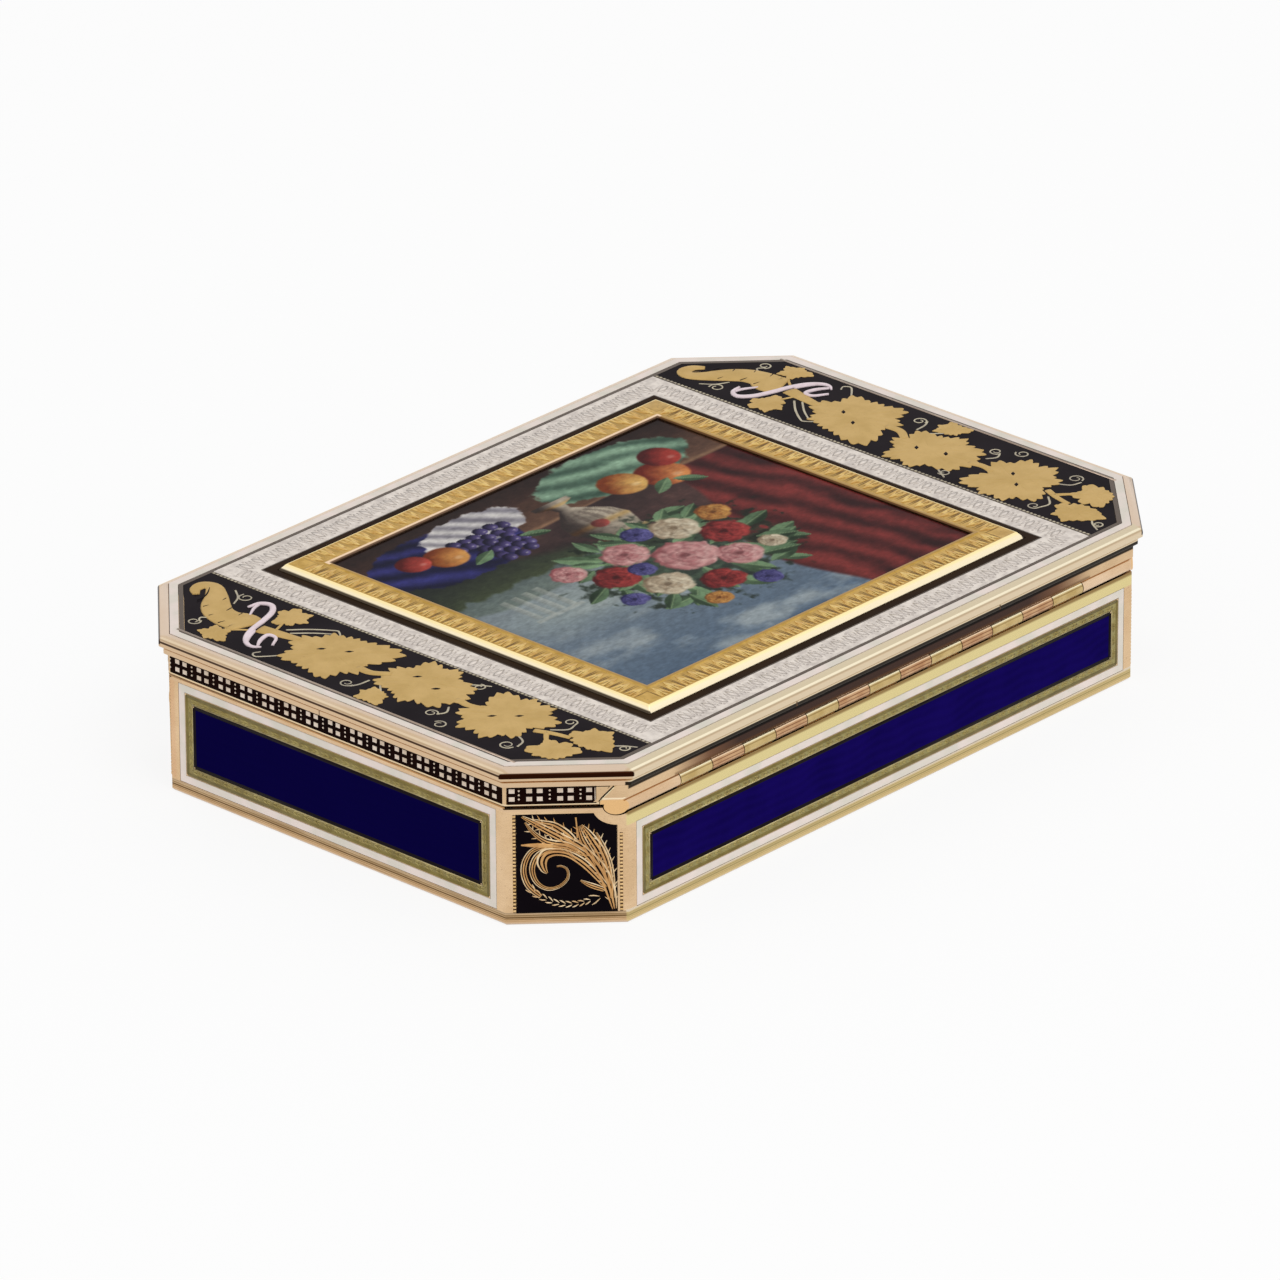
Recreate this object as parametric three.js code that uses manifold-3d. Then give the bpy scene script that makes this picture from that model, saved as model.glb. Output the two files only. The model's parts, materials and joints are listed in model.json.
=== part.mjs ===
// Gold and enamel snuff box with cut corners: a box base and a lid on a knuckled hinge.
// Millimetres, +Z up. +X runs along the box and the hinge lies on the +Y side.
// The origin is the middle of the underside.
import * as THREE from "three";
import { mergeVertices } from "three/addons/utils/BufferGeometryUtils.js";
import Module from "manifold-3d";

const wasm = await Module();
wasm.setup();

// Plan of the lid, which is the largest outline
const boxLength = 90;
const boxWidth = 61.7;
const cornerLeg = 8.7; // leg of each 45 degree cut corner

// Base
const baseInset = 1.0; // base wall behind the lid's edge
const bottomThickness = 0.9;
const bottomEdge = 0.25; // small bevel round the foot
const baseHeight = 12.1; // up to the top of the wall
const wallThickness = 1.9;
const linerThickness = 0.5; // thin inner lining that stands above the wall
const linerRise = 1.1; // its lip above the wall, which guides the lid
const linerGap = 0.05; // between wall and lining

// Inlays: every enamel piece lies in a pocket, clear of its metal by the bedding gap
const enamelDepth = 0.5;
const bedGap = 0.05;
const cloison = 0.12; // gold line left between two pockets

// Side panels, from the ends of each face inwards
const pilaster = 1.1;
const filletWidth = 0.85; // white enamel
const borderWidth = 0.95; // engraved green border
const panelFoot = 1.35; // white fillet's lower edge above the table
const panelHead = 0.4; // gold above the panels, below the top of the wall
const hingePanelDrop = 1.95; // the hinge side's panel ends this far below the wall's top
const cornerMargin = 1.0; // gold at both ends of a corner panel
const cornerFoot = 1.25;
const cornerHead = 0.65;
const notchMargin = 0.95; // gold between the hinge cove and the corner panel
const notchFacets = 10; // steps of the round notch in a corner panel

// Underside
const footRing = 2.4; // flat gold ring that the box stands on
const undersideSink = 0.12; // the underside's panels lie this far above the table

// Lid
const splitGap = 0.25; // open line between base and lid
const lidWallInset = 0.9;
const lidWallHeight = 2.1;
const lidClearance = 0.17; // between the lid's wall and the lining's lip
const lidThickness = 2.0;
const lidPocket = 0.6;
const rimWidth = 1.05;
const rimLip = 1.15; // plain upper edge of the rim moulding, with its slope to the lid's face
const rimGroove = 0.3;
const rimBeadInset = 0.45;
const rimGrooveInset = 0.7;
const rimGap = 0.05; // between rim and lid plate
const rimSlope = 0.35; // fall of the rim towards its edge
const rimEdge = 0.15; // small bevel of the rim's upper edge
const lidFilletWidth = 0.9;
const endPanelMargin = 0.45; // gold between white fillet and end panel
const endPanelWidth = 11.05;
const patternMargin = 0.35; // gold between the pattern band and its neighbours
const patternWidthEnds = 3.35;
const patternWidthSides = 3.2;
const lineWidthEnds = 1.0; // black line round the picture frame
const lineWidthSides = 1.1;
const frameWidth = 3.6;
const frameSink = 0.55; // how deep the frame is let into the lid
const frameBevel = 0.52; // width of the steep outer bevel
const frameFlatRise = 0.6; // the chased flat above the lid's face
const frameBead = 0.6; // width of the bead beside the picture
const frameBeadRise = 0.7;
const frameBeadEdge = 0.18; // width of the slope at each side of the bead
const pictureSink = 0.75; // depth of the picture's seat
const pictureEdgeRise = 0.42; // the picture's edge above the lid's face
const pictureDome = 0.16;
const pictureSteps = 12; // rows of facets across the domed picture
const bandMargin = 0.2; // gold above and below the wall's black band
const cutterReach = 1; // how far a cutter stands out of the face that it cuts
const cutterOverlap = 0.05; // how far a cutter passes an edge that it removes

// Hinge along the +Y side
const knuckleCount = 13;
const knuckleLength = 4.41;
const knuckleGap = 0.1;
const tubeRadius = 0.8;
const pinRadius = 0.4;
const boreGap = 0.06;
const pinGrip = 3.0; // length of pin inside each shoulder
const pinEndGap = 0.2;
const hingeInset = 0.74; // axis behind the base's outer face
const coveGap = 0.15; // between tube and the round seat cut in the wall
const tenonDepth = 0.35; // base knuckle's tenon below the cove
const tenonBack = 0.55;
const tenonFront = 0.3;
const tenonGap = 0.05;
const neckFront = 0.45; // lid knuckle's neck in front of the axis
const roundFacets = 24;

// Sizes that follow from the ones above
const linerInset = baseInset + wallThickness + linerGap;
const interiorInset = linerInset + linerThickness;
const lidBottom = baseHeight + splitGap;
const plateBottom = lidBottom + lidWallHeight;
const lidTop = plateBottom + lidThickness;
const lidWallInner = linerInset - lidClearance;
const plateInset = rimWidth + rimGap;
const lidFilletInner = plateInset + lidFilletWidth;
const endPanelInset = lidFilletInner + endPanelMargin;
const endPanelInner = boxLength / 2 - endPanelInset - endPanelWidth;
const axisY = boxWidth / 2 - baseInset - hingeInset;
const axisZ = baseHeight;
const coveRadius = tubeRadius + coveGap;
const hingeHalf = (knuckleCount * knuckleLength) / 2;
const lidStep = axisZ + coveRadius; // underside of the lid's wall above the hinge

const gold = { color: 0xc9a15a, roughness: 0.3, metalness: 1 };
const roseGold = { color: 0xdcb896, roughness: 0.22, metalness: 1 };
const greenGold = { color: 0xa89a4c, roughness: 0.4, metalness: 0.8 };
const white = { color: 0xe4e3e2, roughness: 0.2, metalness: 0 };
const greyWhite = { color: 0xcdc8c4, roughness: 0.3, metalness: 0 };
const blue = { color: 0x150a5a, roughness: 0.08, metalness: 0 };
const black = { color: 0x14101c, roughness: 0.15, metalness: 0 };
const painted = { color: 0x5a3a34, roughness: 0.15, metalness: 0 };

function addPiece(group, name, geometry, look) {
  const mesh = new THREE.Mesh(geometry, new THREE.MeshStandardMaterial(look));
  mesh.name = name;
  group.add(mesh);
  return mesh;
}

// Solids for joining and cutting
function toSolid(geometry) {
  const bare = geometry.clone();
  bare.deleteAttribute("normal");
  bare.deleteAttribute("uv");
  const merged = mergeVertices(bare, 1e-5);
  return new wasm.Manifold(
    new wasm.Mesh({
      numProp: 3,
      vertProperties: new Float32Array(merged.attributes.position.array),
      triVerts: new Uint32Array(merged.index.array),
    }),
  );
}

function toGeometry(solid) {
  const mesh = solid.getMesh();
  const geometry = new THREE.BufferGeometry();
  geometry.setAttribute("position", new THREE.BufferAttribute(mesh.vertProperties, 3));
  geometry.setIndex(new THREE.BufferAttribute(mesh.triVerts, 1));
  geometry.computeVertexNormals();
  return geometry;
}

function cut(geometry, cutters) {
  let solid = toSolid(geometry);
  for (const cutter of cutters) {
    solid = solid.subtract(toSolid(cutter));
  }
  return toGeometry(solid);
}

function join(first, second) {
  return toGeometry(toSolid(first).add(toSolid(second)));
}

function clip(first, second) {
  return toGeometry(toSolid(first).intersect(toSolid(second)));
}

// The box's outline seen from above, drawn in by inset. Drawing it in shortens each corner's leg.
function outline(inset) {
  const x = boxLength / 2 - inset;
  const y = boxWidth / 2 - inset;
  const leg = cornerLeg - inset * (2 - Math.SQRT2);
  return [
    [x, leg - y],
    [x, y - leg],
    [x - leg, y],
    [leg - x, y],
    [-x, y - leg],
    [-x, leg - y],
    [leg - x, -y],
    [x - leg, -y],
  ];
}

function rectangle(halfX, halfY, midX = 0, midY = 0) {
  return [
    [midX + halfX, midY - halfY],
    [midX + halfX, midY + halfY],
    [midX - halfX, midY + halfY],
    [midX - halfX, midY - halfY],
  ];
}

function toShape(points, hole) {
  const shape = new THREE.Shape(points.map(([x, y]) => new THREE.Vector2(x, y)));
  if (hole) {
    shape.holes.push(new THREE.Path(hole.map(([x, y]) => new THREE.Vector2(x, y))));
  }
  return shape;
}

// A slab with the given outline, and an optional hole, between two heights
function slab(points, low, high, hole) {
  const options = { depth: high - low, bevelEnabled: false };
  return new THREE.ExtrudeGeometry(toShape(points, hole), options).translate(0, 0, low);
}

function block(x0, x1, y0, y1, z0, z1) {
  const geometry = new THREE.BoxGeometry(x1 - x0, y1 - y0, z1 - z0);
  return geometry.translate((x0 + x1) / 2, (y0 + y1) / 2, (z0 + z1) / 2);
}

// A moulding that follows an outline: profile holds [inset, height] points in ring order
function moulding(outlineAt, profile) {
  const rings = profile.map(([inset, height]) => outlineAt(inset).map(([x, y]) => [x, y, height]));
  const corners = rings[0].length;
  const index = [];
  for (let i = 0; i < rings.length; i += 1) {
    const next = (i + 1) % rings.length;
    for (let k = 0; k < corners; k += 1) {
      const side = (k + 1) % corners;
      const a = i * corners + k;
      const b = i * corners + side;
      const c = next * corners + side;
      const d = next * corners + k;
      index.push(a, b, c, a, c, d);
    }
  }
  const geometry = new THREE.BufferGeometry();
  geometry.setAttribute("position", new THREE.Float32BufferAttribute(rings.flat(2), 3));
  geometry.setIndex(index);
  geometry.computeVertexNormals();
  return geometry;
}

// A closed solid through equal rings of points, from the lowest ring to the highest
function loft(rings) {
  const corners = rings[0].length;
  const index = [];
  for (let i = 0; i + 1 < rings.length; i += 1) {
    for (let k = 0; k < corners; k += 1) {
      const side = (k + 1) % corners;
      const a = i * corners + k;
      const b = i * corners + side;
      const c = (i + 1) * corners + side;
      const d = (i + 1) * corners + k;
      index.push(a, b, c, a, c, d);
    }
  }
  const top = (rings.length - 1) * corners;
  for (let k = 1; k + 1 < corners; k += 1) {
    index.push(0, k + 1, k, top, top + k, top + k + 1);
  }
  const geometry = new THREE.BufferGeometry();
  geometry.setAttribute("position", new THREE.Float32BufferAttribute(rings.flat(2), 3));
  geometry.setIndex(index);
  geometry.computeVertexNormals();
  return geometry;
}

// A rod along X through the hinge axis
function hingeRod(radius, x0, x1) {
  const rod = new THREE.CylinderGeometry(radius, radius, x1 - x0, roundFacets);
  return rod.rotateZ(Math.PI / 2).translate((x0 + x1) / 2, axisY, axisZ);
}

// Upright faces of the box. On each one u runs right along the face, v up from the table and
// w outwards, and the group puts these on the face.
const faceSigns = {
  thumb_side: [0, -1],
  right_end: [1, 0],
  hinge_side: [0, 1],
  left_end: [-1, 0],
  thumb_right: [1, -1],
  hinge_right: [1, 1],
  hinge_left: [-1, 1],
  thumb_left: [-1, -1],
};

function makeFace(name, inset) {
  const [signX, signY] = faceSigns[name];
  const isCorner = signX * signY !== 0;
  const x = boxLength / 2 - inset;
  const y = boxWidth / 2 - inset;
  const leg = cornerLeg - inset * (2 - Math.SQRT2);
  const group = new THREE.Group();
  const back = isCorner ? leg / 2 : 0;
  group.position.set(signX * (x - back), signY * (y - back), 0);
  group.rotation.set(Math.PI / 2, 0, Math.atan2(signY, signX) + Math.PI / 2, "ZXY");
  group.updateMatrixWorld(true);
  let width = 2 * ((signX ? y : x) - leg);
  if (isCorner) {
    width = leg * Math.SQRT2;
  }
  return { name, group, width, isCorner, besideHinge: isCorner && signY > 0, hingeEnd: signX };
}

// A pocket and the inlay that lies in it, in a face's own directions. Both have the same outline;
// the inlay keeps the bedding gap all round.
function facePocket(face, points, hole) {
  return slab(points, -enamelDepth, cutterReach, hole).applyMatrix4(face.group.matrixWorld);
}

function faceInlay(points, hole) {
  return slab(points, bedGap - enamelDepth, 0, hole);
}

// The three nested panels of a side: white fillet, engraved border, blue enamel
function nestedPanels(width, low, high, start) {
  const middle = (low + high) / 2;
  const box = (inset) => rectangle(width / 2 - inset, (high - low) / 2 - inset, 0, middle);
  const borderStart = start + filletWidth + cloison;
  const blueStart = borderStart + borderWidth + cloison;
  return [
    { kind: "white_fillet", look: white, outer: box, from: start, to: start + filletWidth },
    { kind: "green_border", look: greenGold, outer: box, from: borderStart, to: borderStart + borderWidth },
    { kind: "blue_panel", look: blue, outer: box, from: blueStart, to: null },
  ];
}

function pocketOf(face, panel) {
  return facePocket(face, panel.outer(panel.from), panel.to === null ? undefined : panel.outer(panel.to));
}

function inlayOf(panel) {
  const hole = panel.to === null ? undefined : panel.outer(panel.to - bedGap);
  return faceInlay(panel.outer(panel.from + bedGap), hole);
}

function sidePanels(face) {
  const head = face.name === "hinge_side" ? hingePanelDrop : panelHead;
  const low = panelFoot - pilaster;
  const high = baseHeight - head + pilaster;
  return nestedPanels(face.width, low, high, pilaster);
}

// The corner panels, with a round notch in the upper end beside the hinge
function cornerPanel(face, gap) {
  const half = face.width / 2 - cornerMargin - gap;
  const low = cornerFoot + gap;
  const high = baseHeight - cornerHead - gap;
  if (!face.besideHinge) {
    return rectangle(half, (high - low) / 2, 0, (high + low) / 2);
  }
  const towardsHinge = face.hingeEnd;
  const notchX = towardsHinge * (face.width / 2 - hingeInset * Math.SQRT2);
  const radiusV = coveRadius + notchMargin + gap;
  const radiusU = coveRadius * Math.SQRT2 + notchMargin + gap;
  const startAngle = Math.asin((axisZ - high) / radiusV);
  const endAngle = Math.acos(Math.max(-1, (notchX * towardsHinge - half) / radiusU));
  const points = [];
  for (let i = 0; i <= notchFacets; i += 1) {
    const angle = startAngle + ((endAngle - startAngle) * i) / notchFacets;
    const u = notchX - towardsHinge * radiusU * Math.cos(angle);
    points.push([u, axisZ - radiusV * Math.sin(angle)]);
  }
  const near = towardsHinge * half;
  return [...points, [near, low], [-near, low], [-near, high]];
}

// Base
function basePlate(pockets) {
  const profile = [
    [baseInset + bottomEdge, 0],
    [baseInset, bottomEdge],
    [baseInset, bottomThickness],
  ];
  const rings = profile.map(([inset, height]) => outline(inset).map(([x, y]) => [x, y, height]));
  return cut(loft(rings), pockets);
}

function knuckleSpan(number) {
  const start = -hingeHalf + number * knuckleLength;
  return [start + knuckleGap / 2, start + knuckleLength - knuckleGap / 2];
}

function pinBore(x0, x1) {
  return hingeRod(pinRadius + boreGap, x0, x1);
}

const tenonFloor = axisZ - coveRadius - tenonDepth;

function tenonSlot(number) {
  const [x0, x1] = knuckleSpan(number);
  return block(
    x0 - tenonGap,
    x1 + tenonGap,
    axisY - tenonBack - tenonGap,
    axisY + tenonFront + tenonGap,
    tenonFloor,
    axisZ,
  );
}

function baseKnuckle(number) {
  const [x0, x1] = knuckleSpan(number);
  const foot = block(x0, x1, axisY - tenonBack, axisY + tenonFront, tenonFloor, axisZ);
  return cut(join(hingeRod(tubeRadius, x0, x1), foot), [pinBore(x0 - cutterReach, x1 + cutterReach)]);
}

// The neck of the lid's knuckles reaches back as far as the lid wall's inner face
const neckBack = boxWidth / 2 - lidWallInner;

function lidKnuckle(number) {
  const [x0, x1] = knuckleSpan(number);
  const neck = block(x0, x1, neckBack, axisY + neckFront, lidBottom, lidStep);
  return cut(join(hingeRod(tubeRadius, x0, x1), neck), [pinBore(x0 - cutterReach, x1 + cutterReach)]);
}

// The plain end stretch of the hinge belongs to the lid and is cut off flush with the corner face
function lidShoulder(side) {
  const inner = hingeHalf + knuckleGap / 2;
  const outer = boxLength / 2;
  const neck = block(inner, outer, neckBack, axisY + neckFront, lidBottom, lidStep);
  const whole = join(hingeRod(tubeRadius, inner, outer), neck);
  const trimmed = clip(whole, slab(outline(lidWallInset), 0, lidTop));
  const shoulder = cut(trimmed, [pinBore(inner - cutterReach, hingeHalf + pinGrip + pinEndGap)]);
  return side > 0 ? shoulder : mirrored(shoulder);
}

// The black band of one face of the lid's wall. Beside the hinge it ends at the shoulder with a
// slanting edge.
function bandOutline(face, gap) {
  const half = face.width / 2 - bandMargin - gap;
  const low = lidBottom + bandMargin + gap;
  const high = plateBottom - bandMargin - gap;
  if (!face.besideHinge) {
    return rectangle(half, (high - low) / 2, 0, (high + low) / 2);
  }
  const towardsHinge = face.hingeEnd;
  const shoulderStart = face.width / 2 - (boxWidth / 2 - lidWallInset - neckBack) * Math.SQRT2;
  const lower = towardsHinge * (shoulderStart - (lidStep - low) - bandMargin - gap);
  const upper = lower + towardsHinge * (high - low);
  return [
    [-towardsHinge * half, low],
    [lower, low],
    [upper, high],
    [-towardsHinge * half, high],
  ];
}

// Mirror image across the YZ plane, with the triangles turned so that they still face outwards
function mirrored(geometry) {
  const copy = geometry.clone();
  copy.scale(-1, 1, 1);
  const order = copy.index.array;
  for (let i = 0; i < order.length; i += 3) {
    [order[i + 1], order[i + 2]] = [order[i + 2], order[i + 1]];
  }
  return copy;
}

const faceNames = Object.keys(faceSigns);
const sideNames = faceNames.slice(0, 4);
const cornerNames = faceNames.slice(4);

const box = new THREE.Group();
const base = new THREE.Group();
const lid = new THREE.Group();
box.add(base, lid);

// Underside panels
const ringInset = baseInset + footRing;
const undersideFilletInset = ringInset + filletWidth;
const underside = [
  { kind: "underside_fillet", look: white, from: ringInset, to: undersideFilletInset },
  { kind: "underside_panel", look: blue, from: undersideFilletInset + cloison, to: null },
];
const undersidePockets = underside.map(({ from, to }) => {
  return slab(outline(from), -cutterReach, enamelDepth, to === null ? undefined : outline(to));
});
addPiece(base, "base_plate", basePlate(undersidePockets), gold);
for (const { kind, look, from, to } of underside) {
  const hole = to === null ? undefined : outline(to - bedGap);
  const inlay = slab(outline(from + bedGap), undersideSink, enamelDepth - bedGap, hole);
  addPiece(base, kind, inlay, look);
}

// Walls with their inlays
const wallPockets = [];
for (const name of faceNames) {
  const face = makeFace(name, baseInset);
  base.add(face.group);
  if (face.isCorner) {
    wallPockets.push(facePocket(face, cornerPanel(face, 0)));
    addPiece(face.group, `corner_panel_${name}`, faceInlay(cornerPanel(face, bedGap)), black);
    continue;
  }
  for (const panel of sidePanels(face)) {
    wallPockets.push(pocketOf(face, panel));
    addPiece(face.group, `${panel.kind}_${name}`, inlayOf(panel), panel.look);
  }
}
const baseKnuckles = [];
const lidKnuckles = [];
for (let number = 0; number < knuckleCount; number += 1) {
  (number % 2 === 0 ? baseKnuckles : lidKnuckles).push(number);
}
const cove = hingeRod(coveRadius, -boxLength / 2, boxLength / 2);
const wallCuts = [...wallPockets, cove, ...baseKnuckles.map(tenonSlot)];
const wall = slab(outline(baseInset), bottomThickness, baseHeight, outline(baseInset + wallThickness));
addPiece(base, "base_wall", cut(wall, wallCuts), gold);
const linerTop = baseHeight + linerRise;
const liner = slab(outline(linerInset), bottomThickness, linerTop, outline(interiorInset));
addPiece(base, "inner_lining", liner, gold);

// Hinge
baseKnuckles.forEach((number, place) => {
  addPiece(base, `base_knuckle_${place + 1}`, baseKnuckle(number), gold);
});
lidKnuckles.forEach((number, place) => {
  addPiece(lid, `lid_knuckle_${place + 1}`, lidKnuckle(number), roseGold);
});
addPiece(base, "hinge_pin", hingeRod(pinRadius, -hingeHalf - pinGrip, hingeHalf + pinGrip), gold);
addPiece(lid, "lid_shoulder_right", lidShoulder(1), roseGold);
addPiece(lid, "lid_shoulder_left", lidShoulder(-1), roseGold);

// Lid wall with its black band. Above the hinge its lower edge steps up.
const bandPockets = [];
for (const name of faceNames) {
  if (name === "hinge_side") {
    continue;
  }
  const face = makeFace(name, lidWallInset);
  lid.add(face.group);
  bandPockets.push(facePocket(face, bandOutline(face, 0)));
  addPiece(face.group, `black_band_${name}`, faceInlay(bandOutline(face, bedGap)), black);
}
const stepBack = neckBack - cutterOverlap;
const hingeStep = block(-boxLength / 2, boxLength / 2, stepBack, boxWidth / 2, 0, lidStep);
const lidWall = slab(outline(lidWallInset), lidBottom, plateBottom, outline(lidWallInner));
addPiece(lid, "lid_wall", cut(lidWall, [...bandPockets, hingeStep]), gold);

// Rim moulding: a bead below, a groove, and the plain upper edge
const rimLipBottom = lidTop - rimLip;
const rimProfile = [
  [rimWidth, plateBottom],
  [rimBeadInset, plateBottom],
  [rimBeadInset, rimLipBottom - rimGroove],
  [rimGrooveInset, rimLipBottom - rimGroove],
  [rimGrooveInset, rimLipBottom],
  [0, rimLipBottom],
  [0, lidTop - rimSlope - rimEdge],
  [rimEdge, lidTop - rimSlope],
  [rimWidth, lidTop],
];
addPiece(lid, "lid_rim", moulding(outline, rimProfile), roseGold);

// Lid plate and what is let into it
const patternHalfX = endPanelInner - patternMargin;
const patternHalfY = boxWidth / 2 - lidFilletInner - patternMargin;
const patternInnerX = patternHalfX - patternWidthEnds;
const patternInnerY = patternHalfY - patternWidthSides;
const lineHalfX = patternInnerX - cloison;
const lineHalfY = patternInnerY - cloison;
const frameHalfX = lineHalfX - lineWidthEnds;
const frameHalfY = lineHalfY - lineWidthSides;

function endPanel(side, gap) {
  const whole = outline(endPanelInset + gap);
  const inner = endPanelInner + gap;
  const right = [
    [inner, whole[7][1]],
    whole[7],
    whole[0],
    whole[1],
    whole[2],
    [inner, whole[2][1]],
  ];
  return right.map(([x, y]) => [side * x, y]);
}

function lidInlay(points, hole) {
  return slab(points, lidTop - lidPocket + bedGap, lidTop, hole);
}

function lidPocketCut(points, hole) {
  return slab(points, lidTop - lidPocket, lidTop + cutterReach, hole);
}

const patternOuter = (gap) => rectangle(patternHalfX - gap, patternHalfY - gap);
const patternInner = (gap) => rectangle(patternInnerX + gap, patternInnerY + gap);
const lineOuter = (gap) => rectangle(lineHalfX - gap, lineHalfY - gap);
const frameSeat = (gap) => rectangle(frameHalfX - gap, frameHalfY - gap);
const pictureSeat = (gap) => frameSeat(frameWidth + gap);

const plateCuts = [
  lidPocketCut(outline(0), outline(lidFilletInner)),
  lidPocketCut(endPanel(1, 0)),
  lidPocketCut(endPanel(-1, 0)),
  lidPocketCut(patternOuter(0), patternInner(0)),
  lidPocketCut(lineOuter(0), frameSeat(-bedGap)),
  slab(frameSeat(-bedGap), lidTop - frameSink, lidTop + cutterReach),
  slab(pictureSeat(0), lidTop - pictureSink, lidTop + cutterReach),
];
addPiece(lid, "lid_plate", cut(slab(outline(plateInset), plateBottom, lidTop), plateCuts), gold);
addPiece(lid, "lid_fillet", lidInlay(outline(plateInset), outline(lidFilletInner - bedGap)), white);
addPiece(lid, "end_panel_right", lidInlay(endPanel(1, bedGap)), black);
addPiece(lid, "end_panel_left", lidInlay(endPanel(-1, bedGap)), black);
addPiece(lid, "pattern_band", lidInlay(patternOuter(bedGap), patternInner(bedGap)), greyWhite);
addPiece(lid, "black_line", lidInlay(lineOuter(bedGap), frameSeat(-2 * bedGap)), black);

// The picture frame: a steep outer bevel, a flat for the chasing and a bead beside the picture
const frameFoot = lidTop - frameSink;
const frameFlatHeight = lidTop + frameFlatRise;
const frameBeadHeight = lidTop + frameBeadRise;
const frameBeadStart = frameWidth - frameBead;
const frameProfile = [
  [0, frameFoot],
  [0, lidTop],
  [frameBevel, frameFlatHeight],
  [frameBeadStart, frameFlatHeight],
  [frameBeadStart + frameBeadEdge, frameBeadHeight],
  [frameWidth - frameBeadEdge, frameBeadHeight],
  [frameWidth, frameFlatHeight],
  [frameWidth, frameFoot],
];
addPiece(lid, "picture_frame", moulding(frameSeat, frameProfile), gold);

// The picture: a thin plaque with a gentle dome, made as stacked rings that draw in
function picturePlaque() {
  const rings = [pictureSeat(bedGap).map(([x, y]) => [x, y, lidTop - pictureSink + bedGap])];
  const halfY = frameHalfY - frameWidth - bedGap;
  const edge = lidTop + pictureEdgeRise;
  for (let i = 0; i < pictureSteps; i += 1) {
    const share = i / pictureSteps;
    const rise = pictureDome * (1 - (1 - share) * (1 - share));
    rings.push(pictureSeat(bedGap + share * halfY).map(([x, y]) => [x, y, edge + rise]));
  }
  return loft(rings);
}
addPiece(lid, "picture", picturePlaque(), painted);

export default box;
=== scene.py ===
# Looks of the gold and enamel snuff box: finishes, chased and painted ornament, and the picture.
# Sizes in this script are millimetres until a mesh is made, and metres after that.
import json
import math

import bmesh
import bpy
import numpy as np
from mathutils import Matrix, Vector


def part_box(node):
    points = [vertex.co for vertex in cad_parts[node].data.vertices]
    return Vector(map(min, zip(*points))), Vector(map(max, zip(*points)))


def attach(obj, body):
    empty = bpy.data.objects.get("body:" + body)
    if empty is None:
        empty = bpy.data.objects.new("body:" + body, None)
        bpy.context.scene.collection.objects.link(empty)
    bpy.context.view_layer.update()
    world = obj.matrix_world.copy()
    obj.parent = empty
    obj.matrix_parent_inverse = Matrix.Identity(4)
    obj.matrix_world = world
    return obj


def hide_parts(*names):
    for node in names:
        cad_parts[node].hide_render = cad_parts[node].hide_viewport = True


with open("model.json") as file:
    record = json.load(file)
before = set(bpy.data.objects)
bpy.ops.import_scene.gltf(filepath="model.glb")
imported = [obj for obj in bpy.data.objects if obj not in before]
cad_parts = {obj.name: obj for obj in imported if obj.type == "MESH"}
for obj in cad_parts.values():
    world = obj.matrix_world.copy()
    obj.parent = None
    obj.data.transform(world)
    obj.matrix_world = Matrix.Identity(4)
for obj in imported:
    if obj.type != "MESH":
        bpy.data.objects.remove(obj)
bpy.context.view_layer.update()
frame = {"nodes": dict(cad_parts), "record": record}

MM = 0.001
FULL_TURN = 2 * math.pi

# The photograph's view
CAMERA_PLACE = (795.6, 732.7, 511.8)
CAMERA_AIM = (-1.25, -2.83, 5.99)
CAMERA_ROLL = math.radians(-0.301)
CAMERA_LENS = 348.8
SENSOR_WIDTH = 36.0
CAMERA_REACH = 10  # in metres

# Light
SKY_STRENGTH = 0.92
KEY_PLACE = (200, 560, 820)
KEY_SIZE = 520
KEY_WATTS = 2.5


def node_box(name):
    """Lowest and highest corner of a CAD node, in millimetres."""
    low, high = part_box(name)
    return low / MM, high / MM


# Places read from the frame
RIM_LOW, RIM_HIGH = node_box("lid_rim")
WALL_HIGH = node_box("base_wall")[1]
LID_WALL_LOW, LID_WALL_HIGH = node_box("lid_wall")
PATTERN_HIGH = node_box("pattern_band")[1]
FRAME_HIGH = node_box("picture_frame")[1]
PICTURE_LOW, PICTURE_HIGH = node_box("picture")
END_PANEL_LOW, END_PANEL_HIGH = node_box("end_panel_right")
CORNER_PANEL_LOW, CORNER_PANEL_HIGH = node_box("corner_panel_thumb_right")
PIN_LOW, PIN_HIGH = node_box("hinge_pin")
LID_TOP = node_box("lid_plate")[1].z
HALF_LENGTH = RIM_HIGH.x
HALF_WIDTH = RIM_HIGH.y
BASE_INSET = HALF_LENGTH - WALL_HIGH.x
LID_WALL_INSET = HALF_LENGTH - LID_WALL_HIGH.x
CORNER_LEG = 8.7  # what a cut corner takes off each side, as in the solids
CORNER_REACH = HALF_LENGTH + HALF_WIDTH - CORNER_LEG
AXIS_Z = (PIN_LOW.z + PIN_HIGH.z) / 2
PIN_GRIP = 3.0  # length of pin inside each shoulder
HINGE_HALF = PIN_HIGH.x - PIN_GRIP

# Widths and heights as in the solids
PATTERN_WIDTH_ENDS = 3.35
PATTERN_WIDTH_SIDES = 3.2
FRAME_BEVEL = 0.52
FRAME_FLAT = 2.48
FRAME_FLAT_RISE = 0.6
FRAME_BEAD = 0.6
RIM_LIP = 1.15
RIM_GROOVE = 0.3
RIM_SLOPE = 0.35
RIM_EDGE = 0.15
BORDER_WIDTH = 0.95
FOOT_TOP = 1.35
HINGE_STRIP = (10.05, 11.3)  # the gold between the hinge-side panel and the knuckles
GILDING = 0.1  # height of the gilt leaves above the enamel
BEDDING = 0.03  # how far ornament reaches down into its ground


# Meshes

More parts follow.
